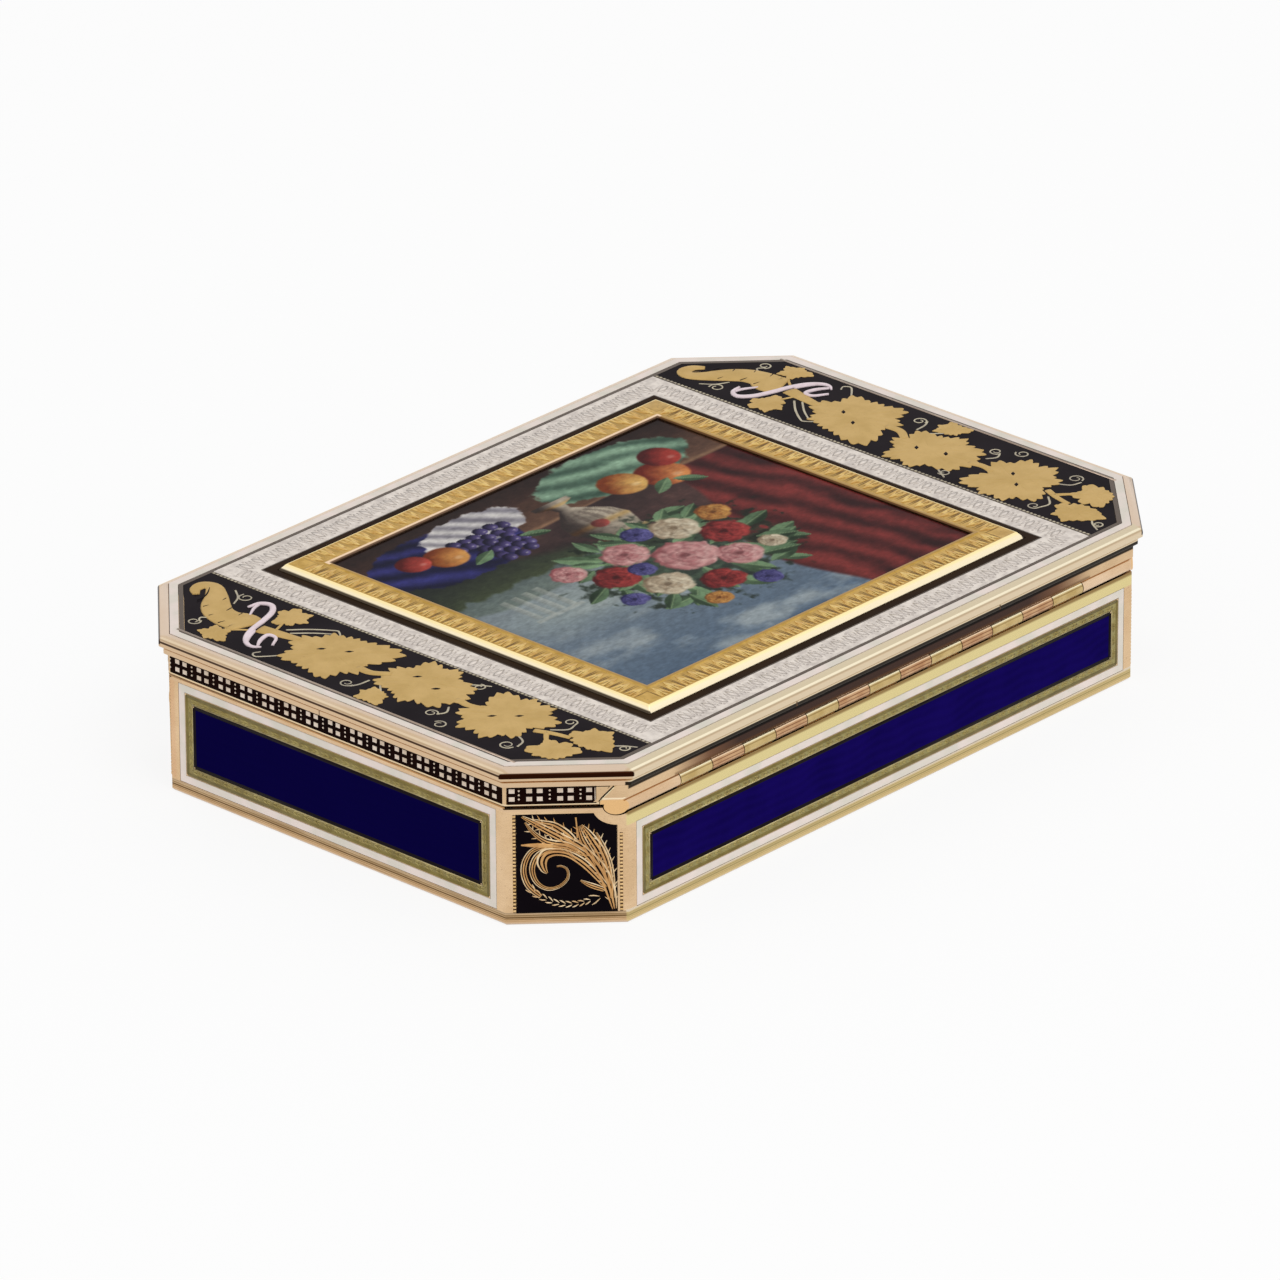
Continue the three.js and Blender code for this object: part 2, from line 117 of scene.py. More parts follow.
def link_object(name, data):
    item = bpy.data.objects.new(name, data)
    bpy.context.scene.collection.objects.link(item)
    return item


def remove_object(item):
    mesh = item.data
    bpy.data.objects.remove(item)
    bpy.data.meshes.remove(mesh)


def make_object(name, points, faces, finish, smooth=True):
    """An object from points in millimetres, with its place in its mesh."""
    mesh = bpy.data.meshes.new(name)
    mesh.from_pydata((np.asarray(points, float) * MM).tolist(), [], [list(f) for f in faces])
    mesh.validate()
    mesh.update()
    if smooth:
        mesh.shade_smooth()
    if finish:
        mesh.materials.append(FINISHES[finish].material)
    return link_object(name, mesh)


def place_piece(piece, body, slot, *nodes):
    """Ties a finished piece to its body and hides the CAD nodes that it stands for. Its slot is not
    used.
    """
    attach(piece, body)
    if nodes:
        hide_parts(*nodes)


def finished_mesh(carrier, name):
    """A plain piece from what the carrier's modifiers make. The carrier is removed."""
    bpy.context.view_layer.update()
    graph = bpy.context.evaluated_depsgraph_get()
    mesh = bpy.data.meshes.new_from_object(carrier.evaluated_get(graph))
    mesh.name = name
    remove_object(carrier)
    return link_object(name, mesh)


class Plane:
    """A flat ground for ornament: u and v lie in it, w points out of it. All in millimetres."""

    def __init__(self, origin, u, v, w=None):
        self.origin = np.array(origin, float)
        self.u = np.array(u, float)
        self.v = np.array(v, float)
        self.w = np.cross(self.u, self.v) if w is None else np.array(w, float)

    def place(self, local):
        local = np.asarray(local, float)
        return (self.origin + local[:, :1] * self.u + local[:, 1:2] * self.v
                + local[:, 2:3] * self.w)

    def moved(self, v=0.0, lift=0.0):
        """The same ground, shifted along v and lifted off by so much."""
        return Plane(self.origin + self.v * v + self.w * lift, self.u, self.v, self.w)


class Heap:
    """Collects many small closed solids that make up one piece."""

    def __init__(self):
        self.points = []
        self.faces = []
        self.count = 0

    def add(self, plane, rings, ends=None):
        """A solid through equal rings of points. Its first and last ring are closed flat, or each
        to its own end point."""
        layers, around = np.shape(rings)[:2]
        local = np.reshape(rings, (-1, 3))
        last = (layers - 1) * around
        faces = []
        for k in range(around):
            side = (k + 1) % around
            for low in range(0, last, around):
                high = low + around
                faces.append([low + k, low + side, high + side, high + k])
            if ends is not None:
                tip = last + around
                faces += [[side, k, tip], [last + k, last + side, tip + 1]]
        if ends is None:
            faces += [list(range(around))[::-1], list(range(last, last + around))]
        else:
            local = np.vstack([local, ends])
        self.points.append(plane.place(local))
        self.faces += [[i + self.count for i in face] for face in faces]
        self.count += len(local)

    def build(self, name, finish=None, smooth=True):
        """One object from all the solids, with their faces turned outwards."""
        piece = make_object(name, np.concatenate(self.points), self.faces, finish, smooth)
        shell = bmesh.new()
        shell.from_mesh(piece.data)
        bmesh.ops.recalc_face_normals(shell, faces=shell.faces)
        shell.to_mesh(piece.data)
        shell.free()
        return piece


FACE_SIGNS = {
    "thumb_side": (0, -1),
    "right_end": (1, 0),
    "hinge_side": (0, 1),
    "left_end": (-1, 0),
    "thumb_right": (1, -1),
    "hinge_right": (1, 1),
    "hinge_left": (-1, 1),
    "thumb_left": (-1, -1),
}
LONG_FACES = tuple(FACE_SIGNS)[:4]
CORNERS = tuple(FACE_SIGNS)[4:]
SIDE_ON_RIGHT = ("hinge_right", "thumb_left")  # corners with a long side on their right hand
CORNER_SHRINK = 2 - math.sqrt(2)  # what a cut corner's leg loses per length of inset


def face_plane(name, inset):
    """The upright face with that name, drawn in by inset, and its width. Its origin is the middle
    of the face at table height, u runs right as seen from outside and v runs up."""
    sign_x, sign_y = FACE_SIGNS[name]
    x = HALF_LENGTH - inset
    y = HALF_WIDTH - inset
    leg = CORNER_LEG - inset * CORNER_SHRINK
    corner = name in CORNERS
    back = leg / 2 if corner else 0
    middle = (sign_x * (x - back), sign_y * (y - back), 0)
    normal = np.array([sign_x, sign_y, 0]) / math.hypot(sign_x, sign_y)
    right = np.cross([0, 0, 1], normal)
    width = leg * math.sqrt(2) if corner else 2 * ((y if sign_x else x) - leg)
    return Plane(middle, right, (0, 0, 1)), width


FLAT = Plane((0, 0, 0), (1, 0, 0), (0, 1, 0))
LID_PLANE = FLAT.moved(lift=LID_TOP)


# Node trees

INPUT_KINDS = {1: "Float", 3: "Vector", 4: "Color"}  # by the number of values
OUTPUT_KINDS = {"VALUE": "Float", "RGBA": "Color", "GEOMETRY": "Geometry"}


class Wiring:
    """A node tree, and short ways to fill it. What an input gets is a value or a socket, and what
    comes back from a new node is its outputs."""

    def __init__(self, tree):
        self.tree = tree

    def fill(self, node, inputs):
        for label, value in dict(inputs).items():
            if isinstance(value, bpy.types.NodeSocket):
                self.tree.links.new(value, node.inputs[label])
            else:
                node.inputs[label].default_value = value

    def node(self, kind, inputs=(), **settings):
        node = self.tree.nodes.new(kind)
        for label, value in settings.items():
            setattr(node, label, value)
        self.fill(node, inputs)
        return node.outputs

    def group(self, tree, **inputs):
        named = {label.replace("_", " "): value for label, value in inputs.items()}
        return self.node("ShaderNodeGroup", named, node_tree=tree)

    def math(self, operation, *values, clamp=False):
        settings = {"operation": operation, "use_clamp": clamp}
        return self.node("ShaderNodeMath", enumerate(values), **settings)[0]

    def product(self, first, *others):
        for other in others:
            first = self.math("MULTIPLY", first, other)
        return first

    def mix(self, factor, first, second, blend="MIX"):
        """Mixes two colours, which the node takes in its slots 6 and 7 and gives from slot 2."""
        slots = {0: factor, 6: first, 7: second}
        return self.node("ShaderNodeMix", slots, data_type="RGBA", blend_type=blend)[2]

    def step(self, value, low, high):
        """0 at low, 1 at high, and smooth between them."""
        ends = {"Value": value, "From Min": low, "From Max": high}
        return self.node("ShaderNodeMapRange", ends, interpolation_type="SMOOTHSTEP")[0]

    def place(self):
        return self.node("ShaderNodeTexCoord")["Object"]

    def place_parts(self):
        """Object coordinates apart, with left and right counted alike."""
        x, y, z = self.node("ShaderNodeSeparateXYZ", {0: self.place()})
        return self.math("ABSOLUTE", x), y, z

    def noise(self, scale, detail=3.0, stretch=(1, 1, 1)):
        """Noise on object coordinates; a scale that is a number counts humps to the millimetre."""
        if isinstance(scale, float):
            scale /= MM
        spot = self.node("ShaderNodeMapping", {"Vector": self.place(), "Scale": stretch})[0]
        inputs = {"Vector": spot, "Scale": scale, "Detail": detail}
        return self.node("ShaderNodeTexNoise", inputs)["Fac"]


def new_group(name, kind, inputs, fill):
    """A node group. An input is given as its kind of socket, or as a value to start from. The
    function that fills the group takes its wiring and inputs, and gives its outputs by name."""
    tree = bpy.data.node_groups.new(name, f"{kind}NodeTree")
    add_socket = tree.interface.new_socket
    for label, value in inputs.items():
        named = isinstance(value, str)
        socket_kind = value if named else INPUT_KINDS[np.size(value)]
        socket = add_socket(label, in_out="INPUT", socket_type=f"NodeSocket{socket_kind}")
        if not named:
            socket.default_value = value
    wiring = Wiring(tree)
    made = fill(wiring, wiring.node("NodeGroupInput"))
    for label, source in made.items():
        add_socket(label, in_out="OUTPUT", socket_type=f"NodeSocket{OUTPUT_KINDS[source.type]}")
    wiring.node("NodeGroupOutput", made)
    return tree


# Strokes and leaves

THINNEST = 0.02  # half width of the thinnest stroke
LOWEST_CREST = 0.35  # share of the height that a stroke has however thin it is
CREST_GROWTH = 0.4  # half width over which a stroke's crest rises by the whole height


def smooth_path(points, steps=5):
    """A Catmull-Rom curve through the points, end points kept."""
    knots = np.asarray(points, float)
    knots = np.vstack([2 * knots[0] - knots[1], knots, 2 * knots[-1] - knots[-2]])
    path = []
    for i in range(1, len(knots) - 2):
        a, b, c, d = knots[i - 1:i + 3]
        for t in np.arange(steps) / steps:
            path.append(0.5 * (2 * b + (c - a) * t + (2 * a - 5 * b + 4 * c - d) * t ** 2
                               + (3 * b - a - 3 * c + d) * t ** 3))
    path.append(knots[-2])
    return np.array(path)


def along_and_across(path):
    """Directions along a path and across it, at each of its points."""
    along = np.gradient(path[:, :2], axis=0)
    along /= np.maximum(np.linalg.norm(along, axis=1, keepdims=True), 1e-9)
    return along, np.column_stack([along[:, 1], -along[:, 0]])


# Cross-section of a stroke: share of the half width, share of the height
STROKE_SECTION = ((-1, 0), (1, 0), (0.86, 0.6), (0.35, 1), (-0.35, 1), (-0.86, 0.6))


def stroke(heap, plane, points, height=GILDING, steps=5):
    """A rounded ribbon of metal or enamel along (u, v, half width) points."""
    path = smooth_path(points, steps)
    across = along_and_across(path)[1]
    half = np.maximum(path[:, 2:3], THINNEST)
    crest = height * np.minimum(1, LOWEST_CREST + half[:, 0] / CREST_GROWTH)
    rings = []
    for side, lift in STROKE_SECTION:
        spot = path[:, :2] + across * half * side
        rings.append(np.column_stack([spot, lift * (crest + BEDDING) - BEDDING]))
    heap.add(plane, np.stack(rings, axis=1))


def fine_line(heap, plane, start, end, half, height):
    """A straight thin line from one (u, v) place to another."""
    middle = ((start[0] + end[0]) / 2, (start[1] + end[1]) / 2)
    stroke(heap, plane, [(*start, half), (*middle, half), (*end, half)], height, steps=1)


def round_ring(u, v, radius, angles, height):
    """Points round (u, v), each at its angle and radius."""
    return np.column_stack([u + radius * np.cos(angles), v + radius * np.sin(angles),
                            height + 0 * angles])


CURL_POINTS = 10  # to a full turn
CURL_LEAST = 6
CURL_TAPER = 0.35  # share of its half width that a curl loses towards its end


def curl(centre, start, end, first, turns, half):
    """Points of a spiral round the centre, from one radius and angle in to another radius."""
    share = np.linspace(0, 1, max(CURL_LEAST, int(abs(turns) * CURL_POINTS)) + 1)
    angle = math.radians(first) + FULL_TURN * turns * share
    radius = start + (end - start) * share
    thin = half * (1 - CURL_TAPER * share)
    return round_ring(*centre, radius, angle, thin)


LEAF_AROUND = 168
LEAF_RINGS = (0.3, 0.6, 0.85, 0.97, 1.0)
LEAF_GROWTH = 1.07  # what a leaf's tips are moved out by
LEAF_EDGE = GILDING * 0.6  # height of a leaf at its edge
LEAF_MIDDLE = 0.96  # height of its middle point, as a share of its rise
LOBE_HALF = 0.6  # in radians
LOBE_DEPTH = 0.4  # share of its length that a lobe loses to its side
LOBE_BLUNTNESS = 1.25
TOOTH_TIP = 1.04  # how far out the teeth's tips are, as a share of the outline's radius
TOOTH_DEPTH = 0.15
TOOTH_PEAK = 0.4  # where a tooth's tip is, as a share of its width
VEIN_WIDTH = 0.05  # in radians
VEIN_DEPTH = 0.035
VEIN_END = 0.9  # share of the leaf from which a vein keeps its depth


def leaf_radius(lobes, angle_gaps, angles, teeth):
    """Outline of a full leaf: blunt lobes with a sharply toothed edge."""
    radius = np.zeros(len(angles))
    for (_, length), off in zip(lobes, angle_gaps):
        falling = np.minimum(off / LOBE_HALF, 1) ** LOBE_BLUNTNESS
        radius = np.maximum(radius, length * (1 - LOBE_DEPTH * falling))
    saw = (angles * teeth / FULL_TURN) % 1
    return radius * (TOOTH_TIP - TOOTH_DEPTH * np.abs(saw - TOOTH_PEAK) / (1 - TOOTH_PEAK))


def vine_leaf(heap, plane, centre, tips, rise=0.15, teeth=31):
    """A flat, slightly domed leaf whose lobes end at the tips, with a fine line along each lobe."""
    middle = np.array(centre, float)
    offsets = (np.asarray(tips, float) - middle) * LEAF_GROWTH
    lobes = [(math.atan2(dv, du), math.hypot(du, dv)) for du, dv in offsets]
    angles = np.arange(LEAF_AROUND) * FULL_TURN / LEAF_AROUND
    gaps = [np.abs((angles - angle + math.pi) % FULL_TURN - math.pi) for angle, _ in lobes]
    edge = leaf_radius(lobes, gaps, angles, teeth)
    groove = np.max([np.exp(-(off / VEIN_WIDTH) ** 2) for off in gaps], axis=0)
    rings = []
    for share in LEAF_RINGS:
        dome = LEAF_EDGE + (rise - LEAF_EDGE) * (1 - share ** 2)
        height = dome - VEIN_DEPTH * groove * math.sin(math.pi * min(share, VEIN_END))
        rings.append(round_ring(*middle, share * edge, angles, height))
    rings.append(round_ring(*middle, edge, angles, -BEDDING))
    heap.add(plane, rings, [(*middle, rise * LEAF_MIDDLE), (*middle, -BEDDING)])


def bead(heap, u, v, radius, height, around=8, plane=FLAT):
    """A low round bead."""
    angles = np.arange(around) * FULL_TURN / around
    rings = [round_ring(u, v, radius * share, angles, lift)
             for share, lift in ((1, -BEDDING), (1, height * 0.3), (0.6, height * 0.85))]
    heap.add(plane, rings, [(u, v, -BEDDING), (u, v, height)])


def tile(heap, u, v, half_u, half_v, height, slope=0.08, plane=FLAT):
    """A small plate with sloped edges."""
    rings = []
    for draw, lift in ((0, -BEDDING), (0, height * 0.5), (slope, height)):
        rings.append([(u + sign_u * (half_u - draw), v + sign_v * (half_v - draw), lift)
                      for sign_u, sign_v in ((-1, -1), (1, -1), (1, 1), (-1, 1))])
    heap.add(plane, rings)


# Half of a pointed leaf's outline: share of the length, share of the half width
LEAF_OUTLINE = ((0, 0.3), (0.3, 0.95), (0.55, 1), (0.8, 0.55), (1, 0))


def pointed_leaf(heap, foot, tip, half, height):
    """A small pointed leaf with a raised middle, from foot to tip."""
    foot = np.asarray(foot, float)
    along = np.asarray(tip, float) - foot
    across = np.array([along[1], -along[0]]) / np.linalg.norm(along)
    outline = list(LEAF_OUTLINE)
    outline += [(share, -wide) for share, wide in LEAF_OUTLINE[-2::-1]]
    spots = [foot + along * share + across * half * wide for share, wide in outline]
    rings = [[(*spot, lift) for spot in spots] for lift in (-BEDDING, height * 0.35)]
    middle = foot + along * 0.5
    heap.add(FLAT, rings, [(*middle, -BEDDING), (*middle, height)])


def flat_plate(heap, plane, corners, height):
    """A thin plate with the given corners."""
    heap.add(plane, [[(u, v, lift) for u, v in corners] for lift in (-BEDDING, height)])


# Rows of small motifs

VARIATION_SEED = 7
PITCH_SLACK = 0.999  # a little off the pitch, so that rounding never drops a run's last copy


def motif_row(wiring, given):
    """Sets copies of a motif along runs, upright on the ground that each run lies in."""
    curve = wiring.node("GeometryNodeMeshToCurve", {"Mesh": given["Runs"]})[0]
    spots = wiring.node("GeometryNodeResampleCurve", {"Curve": curve, "Length": given["Pitch"]},
                        mode="LENGTH")[0]
    motif = wiring.node("GeometryNodeObjectInfo", {"Object": given["Motif"]})["Geometry"]
    turn = (0, 0, 0)
    for name, axis, pivot in (("outward", "Z", "AUTO"), ("along", "X", "Z")):
        read = wiring.node("GeometryNodeInputNamedAttribute", {"Name": name},
                           data_type="FLOAT_VECTOR")["Attribute"]
        turn = wiring.node("FunctionNodeAlignRotationToVector", {"Vector": read, "Rotation": turn},
                           axis=axis, pivot_axis=pivot)[0]
    smallest = wiring.math("SUBTRACT", 1, given["Hand Variation"])
    size = wiring.node("FunctionNodeRandomValue", {2: smallest, 3: 1, "Seed": VARIATION_SEED},
                       data_type="FLOAT")[1]
    copies = wiring.node("GeometryNodeInstanceOnPoints", {
        "Points": spots, "Instance": motif, "Rotation": turn, "Scale": size})[0]
    real = wiring.node("GeometryNodeRealizeInstances", {"Geometry": copies})[0]
    row = {"Geometry": real, "Material": given["Finish"]}
    return {"Row": wiring.node("GeometryNodeSetMaterial", row)[0]}


ROWS = new_group("motif_rows", "Geometry", {
    "Runs": "Geometry", "Motif": "Object", "Pitch": "Float", "Hand Variation": "Float",
    "Finish": "Material"}, motif_row)
ROW_INPUTS = {item.name: item.identifier for item in ROWS.interface.items_tree
              if item.item_type == "SOCKET" and item.in_out == "INPUT"}


def fitted_run(plane, first, last, pitch, lift=0.0):
    """A run from one (u, v) place to another, with half a step left free at both ends."""
    first = np.array([*first, lift])
    last = np.array([*last, lift])
    count = max(1, int(np.linalg.norm(last - first) / pitch))
    step = (last - first) / count
    ends = plane.place([first + step / 2, last - step / 2])
    along = plane.place([step])[0] - plane.origin
    return ends, along / np.linalg.norm(along), plane.w


def place_rows(body, slot, name, motif, runs, pitch, finish, variation=0.0, smooth=False):
    """Places a piece made of copies of the motif along all the runs."""
    motif = motif.build("motif", smooth=smooth)
    points = np.concatenate([ends for ends, _, _ in runs]) * MM
    mesh = bpy.data.meshes.new(name)
    mesh.from_pydata(points.tolist(), [(2 * i, 2 * i + 1) for i in range(len(runs))], [])
    for label, place in (("along", 1), ("outward", 2)):
        values = mesh.attributes.new(label, "FLOAT_VECTOR", "POINT")
        rows = [run[place] for run in runs for _ in range(2)]
        values.data.foreach_set("vector", np.array(rows, float).ravel())
    carrier = link_object(name, mesh)
    modifier = carrier.modifiers.new("rows", "NODES")
    modifier.node_group = ROWS
    inputs = {"Motif": motif, "Pitch": pitch * MM * PITCH_SLACK, "Hand Variation": variation,
              "Finish": FINISHES[finish].material}
    for label, value in inputs.items():
        modifier[ROW_INPUTS[label]] = value
    place_piece(finished_mesh(carrier, name), body, slot)
    remove_object(motif)


def place_heaps(body, *rows):
    """Builds each heap under its name with its finish, and ties it to the body."""
    for heap, name, finish, slot, *smooth in rows:
        place_piece(heap.build(name, finish, *smooth), body, slot)


# Finishes: shared effects

def linear(color):
    return np.where(color <= 0.04045, color / 12.92, ((color + 0.055) / 1.055) ** 2.4)


def tone(color):
    """A colour as a screen shows it, in six hexadecimal digits, made linear."""
    return (*linear(np.array(list(bytes.fromhex(color))) / 255).tolist(), 1)


POLISHING_STAIN = (0.25, 0.14, 0.05, 1)
SPECK_STAIN = (0.16, 0.09, 0.04, 1)


def aged_metal(wiring, given):
    """Tone and sheen of old gold: slow clouds of a second tone, fine polishing lines and specks."""
    clouds = wiring.step(wiring.noise(given["Clouds"], 4.0), 0.35, 0.68)
    lines = wiring.noise(1.2, 3.0, (1, 1, 9))
    specks = wiring.step(wiring.noise(5.0, 2.0), 0.62, 0.75)
    color = wiring.mix(clouds, given["Tone"], given["Second Tone"])
    polish = wiring.product(wiring.step(lines, 0.3, 0.7), given["Brushing"])
    color = wiring.mix(polish, color, POLISHING_STAIN, "MULTIPLY")
    color = wiring.mix(wiring.product(specks, given["Wear"]), color, SPECK_STAIN)
    rough = wiring.math("ADD", given["Roughness"], wiring.product(lines, 0.12))
    return {"Color": color, "Roughness": rough, "Height": lines}


def fired_enamel(wiring, given):
    """Tone of fired enamel: soft clouds, and tiny pits that also roughen it."""
    clouds = wiring.step(wiring.noise(given["Clouds"], 4.0), 0.3, 0.7)
    pits = wiring.step(wiring.noise(2.6, 2.0), 0.66, 0.72)
    color = wiring.mix(clouds, given["Tone"], given["Second Tone"])
    rough = wiring.math("ADD", given["Roughness"], wiring.product(pits, 0.2))
    height = wiring.math("SUBTRACT", wiring.noise(0.25, 2.0), wiring.product(pits, 0.3))
    return {"Color": color, "Roughness": rough, "Height": height}


def box_mask(wiring, given):
    """A mask that is 1 inside a box and 0 outside it, with soft ends, alike left and right."""
    low, high = (wiring.node("ShaderNodeSeparateXYZ", {0: given[end]}) for end in ("Low", "High"))
    shares = []
    for axis, value in zip("XYZ", wiring.place_parts()):
        for first, second in ((value, low[axis]), (high[axis], value)):
            inside = wiring.math("SUBTRACT", first, second)
            shares.append(wiring.math("DIVIDE", inside, given["Softness"], clamp=True))
    return {"Mask": wiring.product(*shares)}


def cut_corner(wiring, given):
    """A mask that is 1 on the four cut corners, from a reach that adds length and width."""
    x, y, _ = wiring.place_parts()
    reach = wiring.math("ADD", x, wiring.math("ABSOLUTE", y))
    past = wiring.math("SUBTRACT", reach, given["Reach"])
    return {"Mask": wiring.math("DIVIDE", past, given["Softness"], clamp=True)}


def rectangle_inset(wiring, given):
    """Distance in from the edge of a rectangle that is centred on the lid."""
    x, y, _ = wiring.place_parts()
    ends = wiring.math("SUBTRACT", given["Half Length"], x)
    sides = wiring.math("SUBTRACT", given["Half Width"], wiring.math("ABSOLUTE", y))
    return {"Inset": wiring.math("MINIMUM", ends, sides)}


GREY = (0.5, 0.5, 0.5, 1)
TONES = {"Tone": GREY, "Second Tone": GREY, "Clouds": 200.0, "Roughness": 0.1}
METAL_INPUTS = {**TONES, "Wear": 0.1, "Brushing": 0.1}
BOX_INPUTS = {"Low": (0, 0, 0), "High": (1, 1, 1), "Softness": 0.0001}
AGED_METAL = new_group("aged_metal", "Shader", METAL_INPUTS, aged_metal)
FIRED_ENAMEL = new_group("fired_enamel", "Shader", TONES, fired_enamel)
BOX_MASK = new_group("box_mask", "Shader", BOX_INPUTS, box_mask)
CUT_CORNER = new_group("cut_corner", "Shader", {"Reach": 0.06, "Softness": 0.0002}, cut_corner)
RECTANGLE_INSET = new_group("rectangle_inset", "Shader",
                            {"Half Length": 0.02, "Half Width": 0.02}, rectangle_inset)
FAR = 200  # past every part of the box
EVERYWHERE = (-FAR, FAR)
RELIEF_HEIGHT = 0.02
METAL_BUMP = 0.3
ENAMEL_BUMP = 0.12
CORNER_MARGIN = 0.25  # how far a corner's mask reaches in from its face
CORNER_SOFTNESS = 0.1
FINISHES = {}


class Finish(Wiring):
    """A Principled material fed by a finish group, and the colours laid over it. Places are in
    millimetres."""

    def __init__(self, name, group, bump, values, sockets):
        self.material = bpy.data.materials.new(name)
        self.material.use_nodes = True
        super().__init__(self.material.node_tree)
        self.shader = self.tree.nodes["Principled BSDF"]
        made = self.group(group, **values)
        relief = self.node("ShaderNodeBump", {
            "Strength": bump, "Distance": RELIEF_HEIGHT * MM, "Height": made["Height"]})[0]
        self.fill(self.shader, {"Base Color": made["Color"], "Roughness": made["Roughness"],
                                "Normal": relief, **sockets})
        FINISHES[name] = self

    def box(self, softness, x=EVERYWHERE, y=EVERYWHERE, z=EVERYWHERE):
        """Mask of the box between the given places."""
        low, high = (tuple(MM * pair[end] for pair in (x, y, z)) for end in (0, 1))
        return self.group(BOX_MASK, Low=low, High=high, Softness=softness * MM)["Mask"]

    def corner(self, inset):
        """Mask of the four cut corner faces of a body that stands in from the outline."""
        reach = CORNER_REACH - inset * math.sqrt(2) - CORNER_MARGIN
        return self.group(CUT_CORNER, Reach=reach * MM, Softness=CORNER_SOFTNESS * MM)["Mask"]

    def inset(self, corner):
        """Distance in from the edge of the centred rectangle with that corner."""
        half_sizes = {"Half_Length": corner.x * MM, "Half_Width": corner.y * MM}
        return self.group(RECTANGLE_INSET, **half_sizes)["Inset"]

    def past(self, inset, low, high):
        """Mask that is 0 at the first distance and 1 at the second."""
        return self.step(inset, low * MM, high * MM)

    def tint(self, color, amount, *masks):
        """Lays a colour over the finish where all the masks are 1."""
        target = self.shader.inputs["Base Color"]
        factor = self.product(*masks, amount)
        self.tree.links.new(self.mix(factor, target.links[0].from_socket, tone(color)), target)

    def tint_box(self, color, amount, softness, *masks, **places):
        """Lays a colour over the box between the given places, where all the masks are 1."""
        self.tint(color, amount, *masks, self.box(softness, **places))


def metal(name, first, second, roughness=0.2, wear=0.3, metallic=1.0, clouds=250.0, brushing=0.1):
    values = {"Tone": tone(first), "Second_Tone": tone(second), "Clouds": clouds,
              "Roughness": roughness, "Wear": wear, "Brushing": brushing}
    return Finish(name, AGED_METAL, METAL_BUMP, values, {"Metallic": metallic})


def enamel(name, first, second, roughness=0.1, gloss=0.06, clouds=200.0):
    values = {"Tone": tone(first), "Second_Tone": tone(second), "Clouds": clouds,
              "Roughness": roughness}
    return Finish(name, FIRED_ENAMEL, ENAMEL_BUMP, values, {"Specular IOR Level": gloss})


# Finishes of one kind all over: name, two tones, roughness, wear, metal, clouds, brushing
PLAIN_METALS = (
    ("laurel_gold", "a89a62", "92824c", 0.3, 0.3, 0.9, 700.0),
    ("laurel_light", "bcae84", "a49468", 0.3, 0.3, 0.9, 700.0),
    ("olive_gold", "867844", "766838", 0.4, 0.3, 0.8, 700.0),
    # Next: the gold of the painted highlight lines beside the band's slanted dark lines.
    ("bright_gold", "f2eac8", "e4d2a0", 0.16, 0.15),
    ("panel_gold", "b09e8e", "988678", 0.3, 0.3),
    ("warm_gold", "c49866", "b08052", 0.3, 0.3),
    ("frame_relief", "e2c276", "cea458", 0.32, 0.4, 1.0, 1200.0),
    ("gilding", "cdab6a", "c3a15e", 0.6, 0.18, 0.3, 400.0, 0.04),
    ("scroll_gilding", "d6a668", "be8c52", 0.45, 0.3, 0.4, 700.0),
    ("pale_gilding", "c4baa0", "a89e8c", 0.4, 0.2, 0.5, 600.0),
    ("band_silver", "e2d2c2", "cebaa4", 0.4, 0.2, 0.4, 600.0),
    # Next: the lighter gilding of the corner scrolls, with painted highlights on strands and barbs,
    # and the garland.
    ("scroll_light", "eed6ae", "cea876", 0.4, 0.3, 0.4, 700.0),
    ("ladder_gold", "e0be8a", "ceaa70", 0.3, 0.3),
    ("engraving", "684a2a", "503620", 0.5, 0.3, 0.5, 600.0),
)
# Name, two tones, roughness, gloss, clouds
PLAIN_ENAMELS = (
    ("white_enamel", "eadbd3", "d9d3c6", 0.2, 0.1, 420.0),
    ("pattern_enamel", "cac0b8", "eae0d6", 0.3, 0.1, 1300.0),
    ("white_relief", "ece2d9", "dad0c7", 0.3, 0.1, 1300.0),
    ("grey_line", "b2a8a0", "c6bcb4", 0.35, 0.1, 1300.0),
    ("ribbon_enamel", "ecdae0", "deccd0", 0.25, 0.2, 700.0),
    ("black_enamel", "1a1418", "211b1f", 0.14, 0.01),
    ("band_enamel", "1a0804", "120606", 0.14, 0.01),
    ("corner_enamel", "0c080c", "100b10", 0.14, 0.01),
    ("line_enamel", "2e1e10", "26180c", 0.2, 0.01),
)
# Lines of colour along the foot: lower and upper height, colour and strength. The lowest line is
# painted contact shade under the box.
FOOT_LINES = (
    (-1, 0.14, "b89e86", 0.9),
    (0.14, 0.34, "caac8e", 0.9),
    (0.34, 0.54, "be9a72", 0.9),
    (0.54, 0.7, "967246", 0.9),
    (0.7, 0.92, "60441e", 0.9),
    (0.92, 1.12, "967c58", 0.9),
    (1.12, 1.34, "ae9678", 0.8),
)
HINGE_FACE = (-FAR, HALF_LENGTH - CORNER_LEG)
# Painted shade: the gold beside the gap between lid and base, darkened on the cut corners.
GAP_SHADE = "1a0c06"  # the deep lines between the gold parts
POST_EDGE = -21  # from here to the thumb side the end faces' gold is redder
POST_TOP = 12


